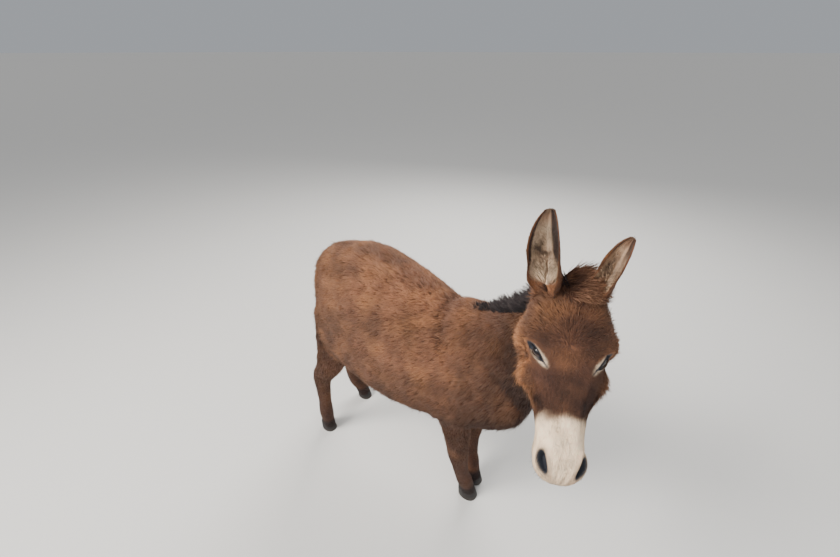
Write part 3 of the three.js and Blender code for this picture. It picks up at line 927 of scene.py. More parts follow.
@dataclass
class Markings:
    """The coat's pattern and its painted shade, worked out from the places on the animal."""

    at: Places

    def __post_init__(self) -> None:
        """Finds what several masks share: head, ears, left ear, distance down the face, inside of an ear."""
        at = self.at
        self.head, self.ears, self.left_ear = at.on(Part.HEAD), at.on(*EARS), at.on(Part.EAR_LEFT)
        self.down, self.inside = at.head[:, 0], at.ear_inside * 1.0

    def cloud(self, size: float, seed: int) -> Array:
        """Soft noise of about -1 to 1 over the points."""
        return Ripple(size, seed)(self.at.points)

    @cached_property
    def muzzle(self) -> Array:
        """The pale muzzle, with a wavy edge that reaches higher on the bridge of the nose."""
        edge = self.down + 6 * self.cloud(46, 1) + 12 * bell(self.at.turn, 34)
        return ease(edge, 311, 345) * self.head

    @cached_property
    def cup(self) -> Array:
        """The hollow of an ear, clear of its edges and fading to the tip."""
        edge = np.abs(self.at.ear_turn)
        return self.inside * (1 - 0.8 * ease(self.at.ear_share, 0.74, 0.95)) * (1 - ease(edge, 0.6, 0.84))

    @cached_property
    def streak(self) -> Array:
        """A dark streak in the hollow, half way up."""
        across = self.at.ear_turn + 0.24 + 0.1 * self.cloud(30, 6)
        return bell(across, 0.17) * bell(self.at.ear_share - 0.52, 0.13) * self.inside

    @cached_property
    def inner_edge(self) -> Array:
        """The dark band inside each edge of an ear, fainter on the left one."""
        turn, share = self.at.ear_turn, self.at.ear_share
        band = np.maximum(ease(turn, 0.12, 0.3), ease(-turn, 0.62, 0.74))
        band = self.inside * band * (1 - ease(np.abs(turn), 0.86, 0.98)) * ease(share, 0.28, 0.46)
        return band * np.where(self.left_ear, 0.3 + 0.5 * ease(share, 0.6, 0.8), 0.95)

    @cached_property
    def tufted(self) -> Array:
        """Clumps on temples and cheeks, about -1 to 1."""
        sides = ease(self.at.turn, 62, 88), 1 - ease(self.at.turn, 98, 125)
        return self.cloud(19, 9) * sides[0] * sides[1] * (1 - ease(self.down, 270, 310))

    @cached_property
    def cheek(self) -> Array:
        """The tufts of cheek and brow."""
        return CHEEK_TUFT(self.down, self.at.turn) + BROW_TUFT(self.down, self.at.turn)

    @cached_property
    def golden(self) -> Array:
        """The sun-bleached upper forehead."""
        return 0.4 * self.head * bell(self.down - 68, 22) * (1 - ease(self.at.turn, 38, 62))

    def pale_muzzle(self) -> Array:
        """The muzzle, duller round the nostrils and at the nose's end, with painted shade on its lower sides
        and underside and along its wrinkles.
        """
        x, turn = self.down, self.at.turn
        nostril = 0.42 * bell(NOSTRIL.ring(x, turn) - 1.1, 0.35) * ease(x, 380, 400)
        ridges = ease(np.sin(0.5 * turn + 0.05 * x), 0.3, 1.0)
        # painted shade: faint dark lines along the wrinkles
        painted_wrinkle_shade = 0.3 * ridges * bell(x - NOSE_CREASES, 12) * (1 - ease(turn, 50, 90))
        # painted shade: the muzzle a fifth darker on its lower sides and underside
        soft = self.muzzle * (1 - nostril) * (1 - 0.2 * ease(turn, 70, 120))
        return soft * (1 - painted_wrinkle_shade) * (1 - 0.12 * ease(x, 425, 470))

    def pale(self) -> Array:
        """Pale hair: muzzle, rims round the eyes, cups of the ears, and a hint on belly and throat."""
        x, turn, fore = self.down, self.at.turn, self.at.points[:, 0]
        rim = (1 - ease(self.at.rim, 0.56, 1.12)) * self.head
        # the ears' hollows held below full paleness: partly their own greyer hair, partly painted shade
        cups = self.cup * np.where(self.left_ear, 0.45, 0.7)
        cups = cups * (1 - 0.95 * self.streak) * (1 - self.inner_edge)
        belly = self.at.on(Part.TRUNK) * ease(turn, 140, 170) * ease(fore, -300, -160) * 0.4
        belly = belly * (1 - ease(fore, 260, 400))
        throat = self.head * ease(turn, 140, 170) * bell(x - 130, 45) * 0.2
        return np.maximum.reduce(
            [self.pale_muzzle(), (0.57 + 0.14 * self.cloud(12, 8)) * rim, cups, belly, throat])

    def dusky_and_shaded_face(self) -> Array:
        """The face's darkness, partly its own dusky hair and partly painted shade, lighter on temples and
        cheeks and in their tufts.
        """
        x, turn = self.down, self.at.turn
        # painted shade deepens the whole face over its own dusky hair
        face = 0.57 + 0.16 * ease(x, 120, 230) + 0.08 * self.cloud(52, 7) - 0.4 * self.tufted
        sides = 0.5 * ease(turn, 66, 92) * (1 - ease(turn, 105, 140))
        return self.head * np.clip(face, 0, 1) * (1 - sides) * (1 - 0.75 * np.minimum(self.cheek, 1))

    def dark(self) -> Array:
        """Dusky hair of nape, a line down the back and the ears' backs, edges and tips; face and legs partly
        dusky hair and partly painted shade; painted shade on the lower sides and underside of trunk and neck,
        and on chest and neck towards the front.
        """
        turn, (fore, _, high) = self.at.turn, self.at.points.T
        torso = self.at.on(Part.TRUNK, Part.NECK)
        tip = self.ears * ease(self.at.ear_share, 0.86, 1.0)
        ear_back = self.ears * (1 - self.inside) * 0.45
        spine = torso * bell(turn, 9) * 0.45
        # painted shade: lower sides and underside of trunk and neck darker, and chest and neck darker towards
        # the front
        under = torso * (ease(turn, 60, 140) * 0.5 + 0.35 * ease(fore, 320, 460))
        # legs: darker hair towards the hoof and a dark coronet band, the whole leg deepened by painted shade
        foot = 0.42 + 0.25 * (1 - ease(high, 120, 460)) + 0.4 * (1 - ease(high, 55, 85))
        nape = self.head * bell(turn, 16) * (1 - ease(self.down, -30, 10)) * 0.95
        dusky = np.maximum.reduce([
            self.inner_edge, 0.7 * tip, 0.95 * self.streak, ear_back, spine, under, self.at.on(*LEGS) * foot,
            self.dusky_and_shaded_face(), nape])
        return dusky * (1 - self.muzzle)

    def warm(self) -> Array:
        """Reddish hair: the ruff of forehead, temples and cheeks, the ears and the croup."""
        x, turn = self.down, self.at.turn
        ruff = self.head * (1 - ease(x, 165, 235) * (1 - ease(turn, 60, 95))) * (1 - ease(x, 290, 330))
        croup = self.at.on(Part.TRUNK) * (1 - ease(self.at.points[:, 0], -300, 0)) * 0.45
        sides = (0.35 * ease(turn, 10, 55) + 0.45 * ease(turn, 62, 90)) * (1 - 0.7 * ease(turn, 98, 130))
        warm = 0.12 + ruff * (sides + 0.35 * self.tufted) + 0.45 * self.cheek * self.head
        warm = warm + self.golden + croup + 0.28 * self.cloud(110, 2) + 0.3 * self.ears
        return warm * (1 - 0.5 * self.head * (1 - ease(x, 0, 60)))

    def bare(self) -> Array:
        """Dark bare skin of the nostrils, the lips' line and the lids' edges, and painted shade as slate in
        the ears' hollows.
        """
        x, z = self.down, self.at.head[:, 2]
        nostril = self.head * (1 - ease(NOSTRIL.ring(x, self.at.turn), 0.9, 1.3)) * ease(x, 385, 400)
        lips = self.head * ease(x, MOUTH.corner - 12, MOUTH.corner + 10) * bell(MOUTH.over(x, z), 3.2)
        lid_edge = self.head * (1 - ease(self.at.eye, 1.02, 1.22))
        # painted shade: a touch of slate in the ears' hollows, more in the right ear
        cups = self.cup * np.where(self.left_ear, 0.08, 0.2)
        return np.maximum.reduce([nostril, 0.8 * lips, lid_edge, cups])

    def shade(self) -> Array:
        """How light the hair is: soft clouds over all of it."""
        clouds = 0.48 + 0.16 * self.cloud(160, 3) + 0.1 * self.cloud(48, 4) + 0.08 * self.cloud(17, 5)
        return clouds + 0.2 * self.tufted * self.head + 0.3 * self.golden

    def marks(self) -> Marks:
        """All five marks, held within 0 and 1."""
        return Marks(*(np.clip(getattr(self, name)(), 0, 1) for name in MARKS))


# ---------- tufts ----------


@dataclass
class Tufts:
    """A set of tufts: where each is rooted, how it grows, its marks and its place on the map."""

    roots: Array
    normals: Array
    lies: Array
    length: Array
    width: Array
    lift: Array
    curl: Array
    marks: Marks
    spots: Array

    def chosen(self, rows: Array) -> "Tufts":
        """Some of the tufts."""
        picked = {name: getattr(self, name)[rows] for name in TUFT_COLUMNS}
        return Tufts(marks=self.marks.chosen(rows), **picked)


TUFT_COLUMNS = tuple(each.name for each in fields(Tufts) if each.name != "marks")


@dataclass(frozen=True)
class TuftShape:
    """How one tuft is built: rings of three points at shares of its length, and a tip."""

    rings: tuple[float, ...] = (0.0, 0.5)
    flat: float = 0.55
    taper: float = 0.8
    droop: float = 0.3

    def points(self, tufts: Tufts) -> Array:
        """Points of every tuft.

        The middle line at share s is root + length * (lie * s cos(lift) + normal * s sin(lift) (1 - droop s))
        plus a sideways curl that grows with s squared. The width falls as (1 - s) to the power of taper.

        Args:
            tufts: the tufts.

        Returns:
            The points, shaped (tufts, points, 3), ring by ring with the tip last.
        """
        s = np.array(self.rings + (1.0,))[None, :, None]
        side = np.cross(tufts.normals, tufts.lies)
        lift = tufts.lift[:, None, None]
        run, rise = s * np.cos(lift), s * np.sin(lift) * (1 - self.droop * s)
        length = tufts.length[:, None, None]
        line = tufts.roots[:, None] + length * (
            tufts.lies[:, None] * run + tufts.normals[:, None] * rise
            + side[:, None] * tufts.curl[:, None, None] * s**2)
        body = line[:, :-1]
        wide = tufts.width[:, None, None] / 2 * (1 - s[:, :-1]) ** self.taper
        up = (tufts.normals * np.cos(tufts.lift)[:, None] - tufts.lies * np.sin(tufts.lift)[:, None])[:, None]
        corners = [(-1.0, -0.5), (1.0, -0.5), (0.0, 1.0)]
        ring = [body + side[:, None] * (wide * a) + up * (wide * b * self.flat) for a, b in corners]
        rows = np.stack(ring, 2).reshape(len(tufts.roots), -1, 3)
        return np.concatenate([rows, line[:, -1:]], 1)

    def triangles(self) -> Array:
        """Triangles of one tuft: its foot, its sides ring by ring, and its tip."""
        rows = [[0, 2, 1]]
        last = len(self.rings) - 1
        for r in range(last):
            for i in range(3):
                a, b = 3 * r + i, 3 * r + (i + 1) % 3
                rows += [[a, b, b + 3], [a, b + 3, a + 3]]
        tip = 3 * (last + 1)
        rows += [[3 * last + i, 3 * last + (i + 1) % 3, tip] for i in range(3)]
        return np.array(rows)

    def tips(self) -> Array:
        """Share of the length at each point of one tuft."""
        return np.append(np.repeat(self.rings, 3), 1.0)


# ---------- meshes ----------


@dataclass(frozen=True)
class Carrier:
    """Carries points from the tables' frame, in millimetres, to the model's frame, in metres."""

    shift: Array

    @classmethod
    def from_hoof(cls, node: str, foot: Array, long: float) -> "Carrier":
        """Finds the shift from a hoof, whose toe on the ground is the foremost point of its box."""
        low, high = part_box(node)
        return cls(np.array([high[0] / MM - foot[0] - long, (low[1] + high[1]) / 2 / MM - foot[1], 0.0]))

    def __call__(self, points: Array) -> Array:
        """The points in the model's frame."""
        return (points + self.shift) * MM


CARRY = Carrier.from_hoof("fore_right_hoof", FORE_RIGHT[-1], FORE_HOOF[0])


def make_mesh(name: str, surface: Surface, values: dict[str, Array] | None = None,
              uv: Array | None = None) -> Object:
    """Makes a smooth object from whole arrays.

    Args:
        name: the piece's name.
        surface: its surface in the tables' frame.
        values: named numbers, one for each point, that its finish reads.
        uv: a map named OFBake, two numbers for each corner of each triangle.

    Returns:
        The object, at the origin.
    """
    points, triangles = surface.points, surface.triangles
    mesh = bpy.data.meshes.new(name)
    mesh.vertices.add(len(points))
    mesh.vertices.foreach_set("co", CARRY(points).astype(np.float32).ravel())
    mesh.loops.add(triangles.size)
    mesh.loops.foreach_set("vertex_index", triangles.astype(np.int32).ravel())
    mesh.polygons.add(len(triangles))
    mesh.polygons.foreach_set("loop_start", np.arange(0, triangles.size, 3, dtype=np.int32))
    mesh.update(calc_edges=True)
    mesh.shade_smooth()
    for key, column in (values or {}).items():
        numbers = mesh.attributes.new(key, "FLOAT", "POINT").data
        numbers.foreach_set("value", column.astype(np.float32).ravel())
    if uv is not None:
        mesh.uv_layers.new(name="OFBake").uv.foreach_set("vector", uv.astype(np.float32).ravel())
    piece = bpy.data.objects.new(name, mesh)
    bpy.context.scene.collection.objects.link(piece)
    return piece


def settle(piece: Object, nodes: Sequence[str], finish: Material) -> None:
    """Dresses a piece and ties it to the frame.

    Args:
        piece: the object.
        nodes: the solids it stands for.
        finish: its material.
    """
    piece.data.materials.append(finish)
    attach(piece, "root")
    if nodes:
        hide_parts(*nodes)
    LOG.info("%s: %d triangles", piece.name, len(piece.data.polygons))


def make_tufts(name: str, tufts: Tufts, shape: TuftShape) -> Object:
    """Makes one mesh of many tufts, with a small patch of the OFBake map at each root's place.

    Args:
        name: the piece's name.
        tufts: the tufts.
        shape: how each is built.

    Returns:
        The object.
    """
    points = shape.points(tufts)
    count, each = points.shape[:2]
    one = shape.triangles()
    triangles = (one[None] + np.arange(count)[:, None, None] * each).reshape(-1, 3)
    tip = shape.tips()
    across = np.append(np.tile([0.0, 1.0, 0.5], len(shape.rings)), 0.5)
    corner = (np.stack([across, tip], -1) - 0.5) * MAP_PATCH
    low, high = tufts.spots.min(0), tufts.spots.max(0)
    place = 0.01 + 0.98 * (tufts.spots - low) / np.maximum(high - low, 1e-6)
    uv = (place[:, None] + corner[None])[:, one].reshape(-1, 2)
    spread = {key: np.repeat(getattr(tufts.marks, key), each) for key in MARKS}
    contrast = ease(tufts.length, 3.0, 22.0)[:, None]
    values = {**spread, "tip": blend(SKIN_TIP, tip[None], contrast).ravel()}
    return make_mesh(name, Surface(points.reshape(-1, 3), triangles), values, uv)


# ---------- finishes ----------


def tone(red: int, green: int, blue: int) -> Colour:
    """A colour of 0 to 255 as linear light: c / 12.92 in the dark, else ((c + 0.055) / 1.055)^2.4."""
    parts = [c / 255 for c in (red, green, blue)]
    linear = [c / 12.92 if c < 0.04045 else ((c + 0.055) / 1.055) ** 2.4 for c in parts]
    return (*linear, 1.0)


def operator(operation: str, mirrored: bool = False) -> Callable[["Wire", Any], "Wire"]:
    """An operator that adds one Math node; mirrored swaps its sides."""
    def apply(wire: "Wire", other: Any) -> "Wire":
        """The Math node's output."""
        first, second = (other, wire) if mirrored else (wire, other)
        return wire.graph.node("ShaderNodeMath", {"operation": operation}, {0: first, 1: second})[0]

    return apply


@dataclass(frozen=True)
class Wire:
    """A node's output that can be used in sums."""

    graph: "Graph"
    socket: bpy.types.NodeSocket

    __add__ = __radd__ = operator("ADD")
    __sub__ = operator("SUBTRACT")
    __rsub__ = operator("SUBTRACT", mirrored=True)
    __mul__ = __rmul__ = operator("MULTIPLY")
    __pow__ = operator("POWER")


class Graph:
    """The nodes of one material."""

    def __init__(self, name: str) -> None:
        """Starts an empty material."""
        self.material = bpy.data.materials.new(name)
        self.material.use_nodes = True
        self.tree = self.material.node_tree
        self.tree.nodes.clear()

    def node(self, kind: str, settings: dict[str, Any], inputs: dict[Any, Any]) -> list[Wire]:
        """Adds a node.

        Args:
            kind: the node's type.
            settings: its own settings, set first.
            inputs: values or wires for its sockets, by name or number.

        Returns:
            A wire for each output.
        """
        made = self.tree.nodes.new(kind)
        for key, value in settings.items():
            setattr(made, key, value)
        for key, value in inputs.items():
            if isinstance(value, Wire):
                self.tree.links.new(value.socket, made.inputs[key])
            else:
                made.inputs[key].default_value = value
        return [Wire(self, socket) for socket in made.outputs]

    def attribute(self, name: str) -> Wire:
        """A named number of the mesh."""
        return self.node("ShaderNodeAttribute", {"attribute_name": name}, {})[2]

    def mix(self, share: Any, first: Any, second: Any, how: str = "MIX") -> Wire:
        """A mix of two colours."""
        settings = {"data_type": "RGBA", "blend_type": how, "clamp_factor": True}
        return self.node("ShaderNodeMix", settings, {0: share, 6: first, 7: second})[2]

    def noise(self, scale: float, detail: float = 3.0,
              stretch: tuple[float, float, float] = (1, 1, 1)) -> Wire:
        """Noise on object coordinates, as a number of 0 to 1; stretch scales each axis."""
        where = self.node("ShaderNodeTexCoord", {}, {})[3]
        mapped = self.node("ShaderNodeMapping", {}, {"Vector": where, "Scale": stretch})[0]
        return self.node("ShaderNodeTexNoise", {}, {"Vector": mapped, "Scale": scale, "Detail": detail})[0]

    def bump(self, height: Wire, strength: float, distance: float) -> Wire:
        """A bumped normal."""
        inputs = {"Strength": strength, "Distance": distance, "Height": height}
        return self.node("ShaderNodeBump", {}, inputs)[0]

    def range(self, value: Wire, start: tuple[float, float], end: tuple[float, float] = (0, 1)) -> Wire:
        """A number carried from one range to another and held within it."""
        inputs = {1: start[0], 2: start[1], 3: end[0], 4: end[1]}
        return self.node("ShaderNodeMapRange", {}, {0: value, **inputs})[0]

    def shaded(self, colour: Wire, darkest: float, lightest: float) -> Wire:
        """A colour times a grey between two levels, by the mesh's own shade."""
        bright = self.range(self.attribute("shade"), (0, 1), (darkest, lightest))
        grey = self.node("ShaderNodeCombineColor", {}, {0: bright, 1: bright, 2: bright})[0]
        return self.mix(1.0, colour, grey, "MULTIPLY")

    def finish(self, inputs: dict[str, Any]) -> Material:
        """Closes the graph with its shader.

        Args:
            inputs: values or wires for the shader's sockets.

        Returns:
            The finished material.
        """
        shader = self.node("ShaderNodeBsdfPrincipled", {}, inputs)[0]
        self.node("ShaderNodeOutputMaterial", {}, {"Surface": shader})
        return self.material


@dataclass(frozen=True)
class CoatFinish:
    """Winter fur, for skin and tufts alike: brown that is dark at the root and sun-bleached at the tip."""

    name: str = "winter_coat"
    root: Colour = tone(58, 34, 24)
    body: Colour = tone(117, 73, 50)
    tip: Colour = tone(178, 126, 90)
    fringe: Colour = tone(212, 146, 92)
    dark_root: Colour = tone(22, 14, 13)
    dark: Colour = tone(58, 36, 30)
    pale_root: Colour = tone(220, 190, 160)
    pale: Colour = tone(255, 230, 196)
    slate: Colour = tone(30, 32, 40)

    def make(self) -> Material:
        """Mixes the colours by the marks, from root to tip, with fine hair in the bump."""
        g = Graph(self.name)
        tip, warm = g.attribute("tip"), g.attribute("warm")
        brown = g.mix(tip * 1.7, self.root, self.body)
        brown = g.mix((tip ** 2.0) * 0.8, brown, self.tip)
        brown = g.mix(tip * warm * 0.8, brown, self.fringe)
        dark = g.mix(tip, self.dark_root, self.dark)
        # dark: dusky hair, and painted shade on the underside, chest, face and legs
        brown = g.mix(g.attribute("dark"), brown, dark)
        # pale: its own pale hair, held back by painted shade on the muzzle and in the ears' hollows
        pale = g.mix(tip * 1.8, self.pale_root, self.pale)
        colour = g.mix(g.attribute("pale"), brown, pale)
        # slate: bare skin, and painted shade in the ears' hollows
        bare = g.attribute("bare")
        colour = g.mix(bare, g.shaded(colour, 0.5, 1.5), self.slate)
        return g.finish({
            "Base Color": colour, "Roughness": 0.88 - bare * 0.36,
            "Normal": g.bump(g.noise(900, 4.0), 0.35, 0.002), "Specular IOR Level": 0.3, "Sheen Weight": 0.06,
            "Sheen Roughness": 0.5})


@dataclass(frozen=True)
class LockFinish:
    """Long coarse hair of one colour that lightens a little to its tips."""

    name: str
    root: Colour
    body: Colour
    tip: Colour

    def make(self) -> Material:
        """Mixes root, body and tip, each lock by its own shade, with fine streaks."""
        g = Graph(self.name)
        tip, shade = g.attribute("tip"), g.attribute("shade")
        colour = g.mix(tip * 2.0, self.root, self.body)
        colour = g.mix((tip ** 3.0) * shade * 1.2, colour, self.tip)
        fine = g.noise(1200, 3.0)
        return g.finish({
            "Base Color": g.shaded(colour, 0.55, 1.45), "Roughness": 0.62 + fine * 0.2,
            "Normal": g.bump(fine, 0.3, 0.001), "Specular IOR Level": 0.4})


@dataclass(frozen=True)
class EyeFinish:
    """A wet dark eye: a brown iris round a long pupil, under a clear coat."""

    name: str = "wet_eye"
    white: Colour = tone(60, 42, 36)
    iris: Colour = tone(58, 34, 20)
    pupil: Colour = tone(6, 5, 6)

    def make(self) -> Material:
        """Rings by the distance from the eye's middle, with spokes of noise in the iris."""
        g = Graph(self.name)
        iris = g.mix(g.noise(500, 4.0), self.iris, self.pupil)
        edge = g.range(g.attribute("ring"), (0.9, 1.05))
        hole = g.range(g.attribute("pupil"), (0.85, 1.1))
        colour = g.mix(edge, g.mix(hole, self.pupil, iris), self.white)
        return g.finish({
            "Base Color": colour, "Roughness": 0.06 + edge * 0.12, "Coat Weight": 1.0, "Coat Roughness": 0.03,
            "Specular IOR Level": 0.6})


@dataclass(frozen=True)
class HornFinish:
    """Dull dark hoof horn with growth rings, dusty towards the ground."""

    name: str = "hoof_horn"
    horn: Colour = tone(26, 23, 23)
    worn: Colour = tone(50, 44, 42)
    dust: Colour = tone(96, 86, 76)

    def make(self) -> Material:
        """Streaks down the wall, rings across it, and dust at the ground."""
        g = Graph(self.name)
        streaks = g.noise(260, 4.0, (1, 1, 0.12))
        rings = g.noise(300, 2.0, (0.08, 0.08, 1))
        colour = g.mix(streaks * 0.8, self.horn, self.worn)
        low = g.range(g.attribute("height"), (0.35, 0))
        colour = g.mix(low * 0.6 * g.noise(90), colour, self.dust)
        return g.finish({
            "Base Color": colour, "Roughness": 0.5 + streaks * 0.25,
            "Normal": g.bump(rings + streaks * 0.4, 0.5, 0.0015)})


@dataclass(frozen=True)
class FloorFinish:
    """A plain pale studio floor."""

    name: str = "studio_floor"
    colour: Colour = tone(214, 212, 208)
    faint: Colour = tone(196, 194, 190)

    def make(self) -> Material:
        """One soft pale colour with a faint unevenness."""
        g = Graph(self.name)
        return g.finish({"Base Color": g.mix(g.noise(3.0) * 0.08, self.colour, self.faint), "Roughness": 0.9})


# ---------- the skin ----------


@dataclass
class Skin:
    """The whole body's skin: the lofts grown into one another, with the head, lids and ears joined on.

    Depths are the coat's on each part, from its first section to its last. Blends are how far each part grows
    into the rest, in this order. The body's own head is sunk below the fine one, which is joined over it.
    """

    cell: float = 7.5
    band: int = 7
    depths: dict[Part, tuple[float, ...]] = field(default_factory=lambda: {
        Part.TRUNK: (11.0,), Part.NECK: (12.0,), **dict.fromkeys(LEGS, (11.0, 4.5)),
        Part.TAIL: (7.0, 7.0, 8.0, 20.0, 24.0)})
    blends: dict[Part, float] = field(default_factory=lambda: {
        Part.NECK: 46.0, **dict.fromkeys(FORE_LEGS, 44.0), **dict.fromkeys(HIND_LEGS, 48.0), Part.TAIL: 22.0,
        Part.HEAD: 34.0})
    sunk: float = 5.0
    ear_coat: float = 1.6
    nodes: tuple[str, ...] = (
        "trunk", "neck", "head", "muzzle", "lower_lip", "ear_right", "ear_left", "tail_dock",
        "fore_right_upper", "fore_right_lower", "fore_left_upper", "fore_left_lower",
        "hind_right_upper", "hind_right_lower", "hind_left_upper", "hind_left_lower")

    def distances(self, surface: Surface, low: Array, shape: tuple[int, ...]) -> Array:
        """Distances to a closed surface on the shared grid.

        Args:
            surface: the surface.
            low: the grid's first corner, counted in cells.
            shape: the grid's size in cells.

        Returns:
            The distances, negative inside the surface and capped at the band.
        """
        grid = openvdb.FloatGrid.createLevelSetFromPolygons(
            np.ascontiguousarray(surface.points, np.float32),
            triangles=np.ascontiguousarray(surface.triangles, np.uint32),
            transform=openvdb.createLinearTransform(voxelSize=self.cell), halfWidth=float(self.band))
        values = np.zeros(shape, np.float32)
        grid.copyToArray(values, ijk=tuple(int(v) for v in low))
        return values

    def body(self) -> Surface:
        """Every loft inset by the coat's depth and grown together.

        Two fields a and b join as the smooth minimum b + (a - b)h - k h(1 - h), with h the clamped share
        0.5 + (b - a) / 2k, and the joined field's zero level is the surface.

        Returns:
            The surface.
        """
        def sunken(t: Array, turn: Array, bare: Array) -> Array:
            """How far the head in the body stands out."""
            return -head_depth(bare[..., 0], folded(turn)) - self.sunk

        shapes: dict[Part, Surface] = {}
        for part, loft in BODY.items():
            depth = self.depths[part]
            places = np.linspace(0, 1, len(depth))
            shapes[part] = loft.surface(120, 72, lambda t, turn, bare: -np.interp(t, places, depth))
        inner = HEAD_LOFT.surface(90, 64, sunken)
        shapes[Part.HEAD] = Surface(HEAD_POSE.out(inner.points), inner.triangles)
        every = np.concatenate([s.points for s in shapes.values()])
        low = np.floor(every.min(0) / self.cell).astype(int) - self.band
        high = np.ceil(every.max(0) / self.cell).astype(int) + self.band
        shape = tuple(int(v) for v in high - low)
        total = self.distances(shapes[Part.TRUNK], low, shape)
        for part, reach in self.blends.items():
            other = self.distances(shapes[part], low, shape)
            h = np.clip(0.5 + 0.5 * (other - total) / reach, 0, 1)
            total = other + (total - other) * h - reach * h * (1 - h)
        grid = openvdb.FloatGrid(self.cell * self.band)
        grid.transform = openvdb.createLinearTransform(voxelSize=self.cell)
        grid.copyFromArray(np.ascontiguousarray(total, np.float32), ijk=tuple(int(v) for v in low))
        points, triangles, quads = grid.convertToPolygons(0.0, 0.0)
        split = np.concatenate([halved(*quads.T), triangles]).astype(int)
        return Surface(np.array(points, float), split).outward()

    def head(self) -> Surface:
        """The head as one fine loft with all its forms."""
        def relief(t: Array, turn: Array, bare: Array) -> Array:
            """How far the skin stands out."""
            return head_relief(bare[..., 0], turn, bare[..., 2])

        shape = HEAD_LOFT.surface(204, 184, relief)
        return Surface(HEAD_POSE.out(shape.points), shape.triangles)

    def joined(self) -> Surface:
        """Body, head, lids and ears as one closed surface, by a union of solids."""
        parts = [self.body(), self.head(), *(eye.lids() for eye in EYES.values()),
                 *(ear.surface(self.ear_coat) for ear in EARS.values())]
        made = [make_mesh(f"skin_part_{i}", part.outward()) for i, part in enumerate(parts)]
        for other in made[1:]:
            join = made[0].modifiers.new("join", "BOOLEAN")
            join.operation = "UNION"
            join.solver = "MANIFOLD"
            join.object = other
        whole = bpy.data.meshes.new_from_object(made[0].evaluated_get(bpy.context.evaluated_depsgraph_get()))
        whole.calc_loop_triangles()
        points = np.zeros(len(whole.vertices) * 3, np.float32)
        whole.vertices.foreach_get("co", points)
        triangles = np.zeros(len(whole.loop_triangles) * 3, np.int32)
        whole.loop_triangles.foreach_get("vertices", triangles)
        for piece in made:
            bpy.data.meshes.remove(piece.data)
        bpy.data.meshes.remove(whole)
        return Surface(points.reshape(-1, 3) / MM - CARRY.shift, triangles.reshape(-1, 3))

    def build(self, finish: Material) -> Surface:
        """Builds the skin and dresses it.

        Args:
            finish: the coat's material, which the skin shares.

        Returns:
            The skin's surface, for the coat to grow on.
        """
        surface = self.joined()
        marks = Markings(find_places(surface.points)).marks()
        values = {name: getattr(marks, name) for name in MARKS}
        values["tip"] = np.full(len(surface.points), SKIN_TIP)
        settle(make_mesh("skin", surface, values), self.nodes, finish)
        return surface


# ---------- the coat ----------


@dataclass(frozen=True)
class CoatPiece:
    """One piece of the coat: the tufts it takes, how each is built, and a slot name."""

    mine: Array
    shape: TuftShape
    slot: str = "coat"


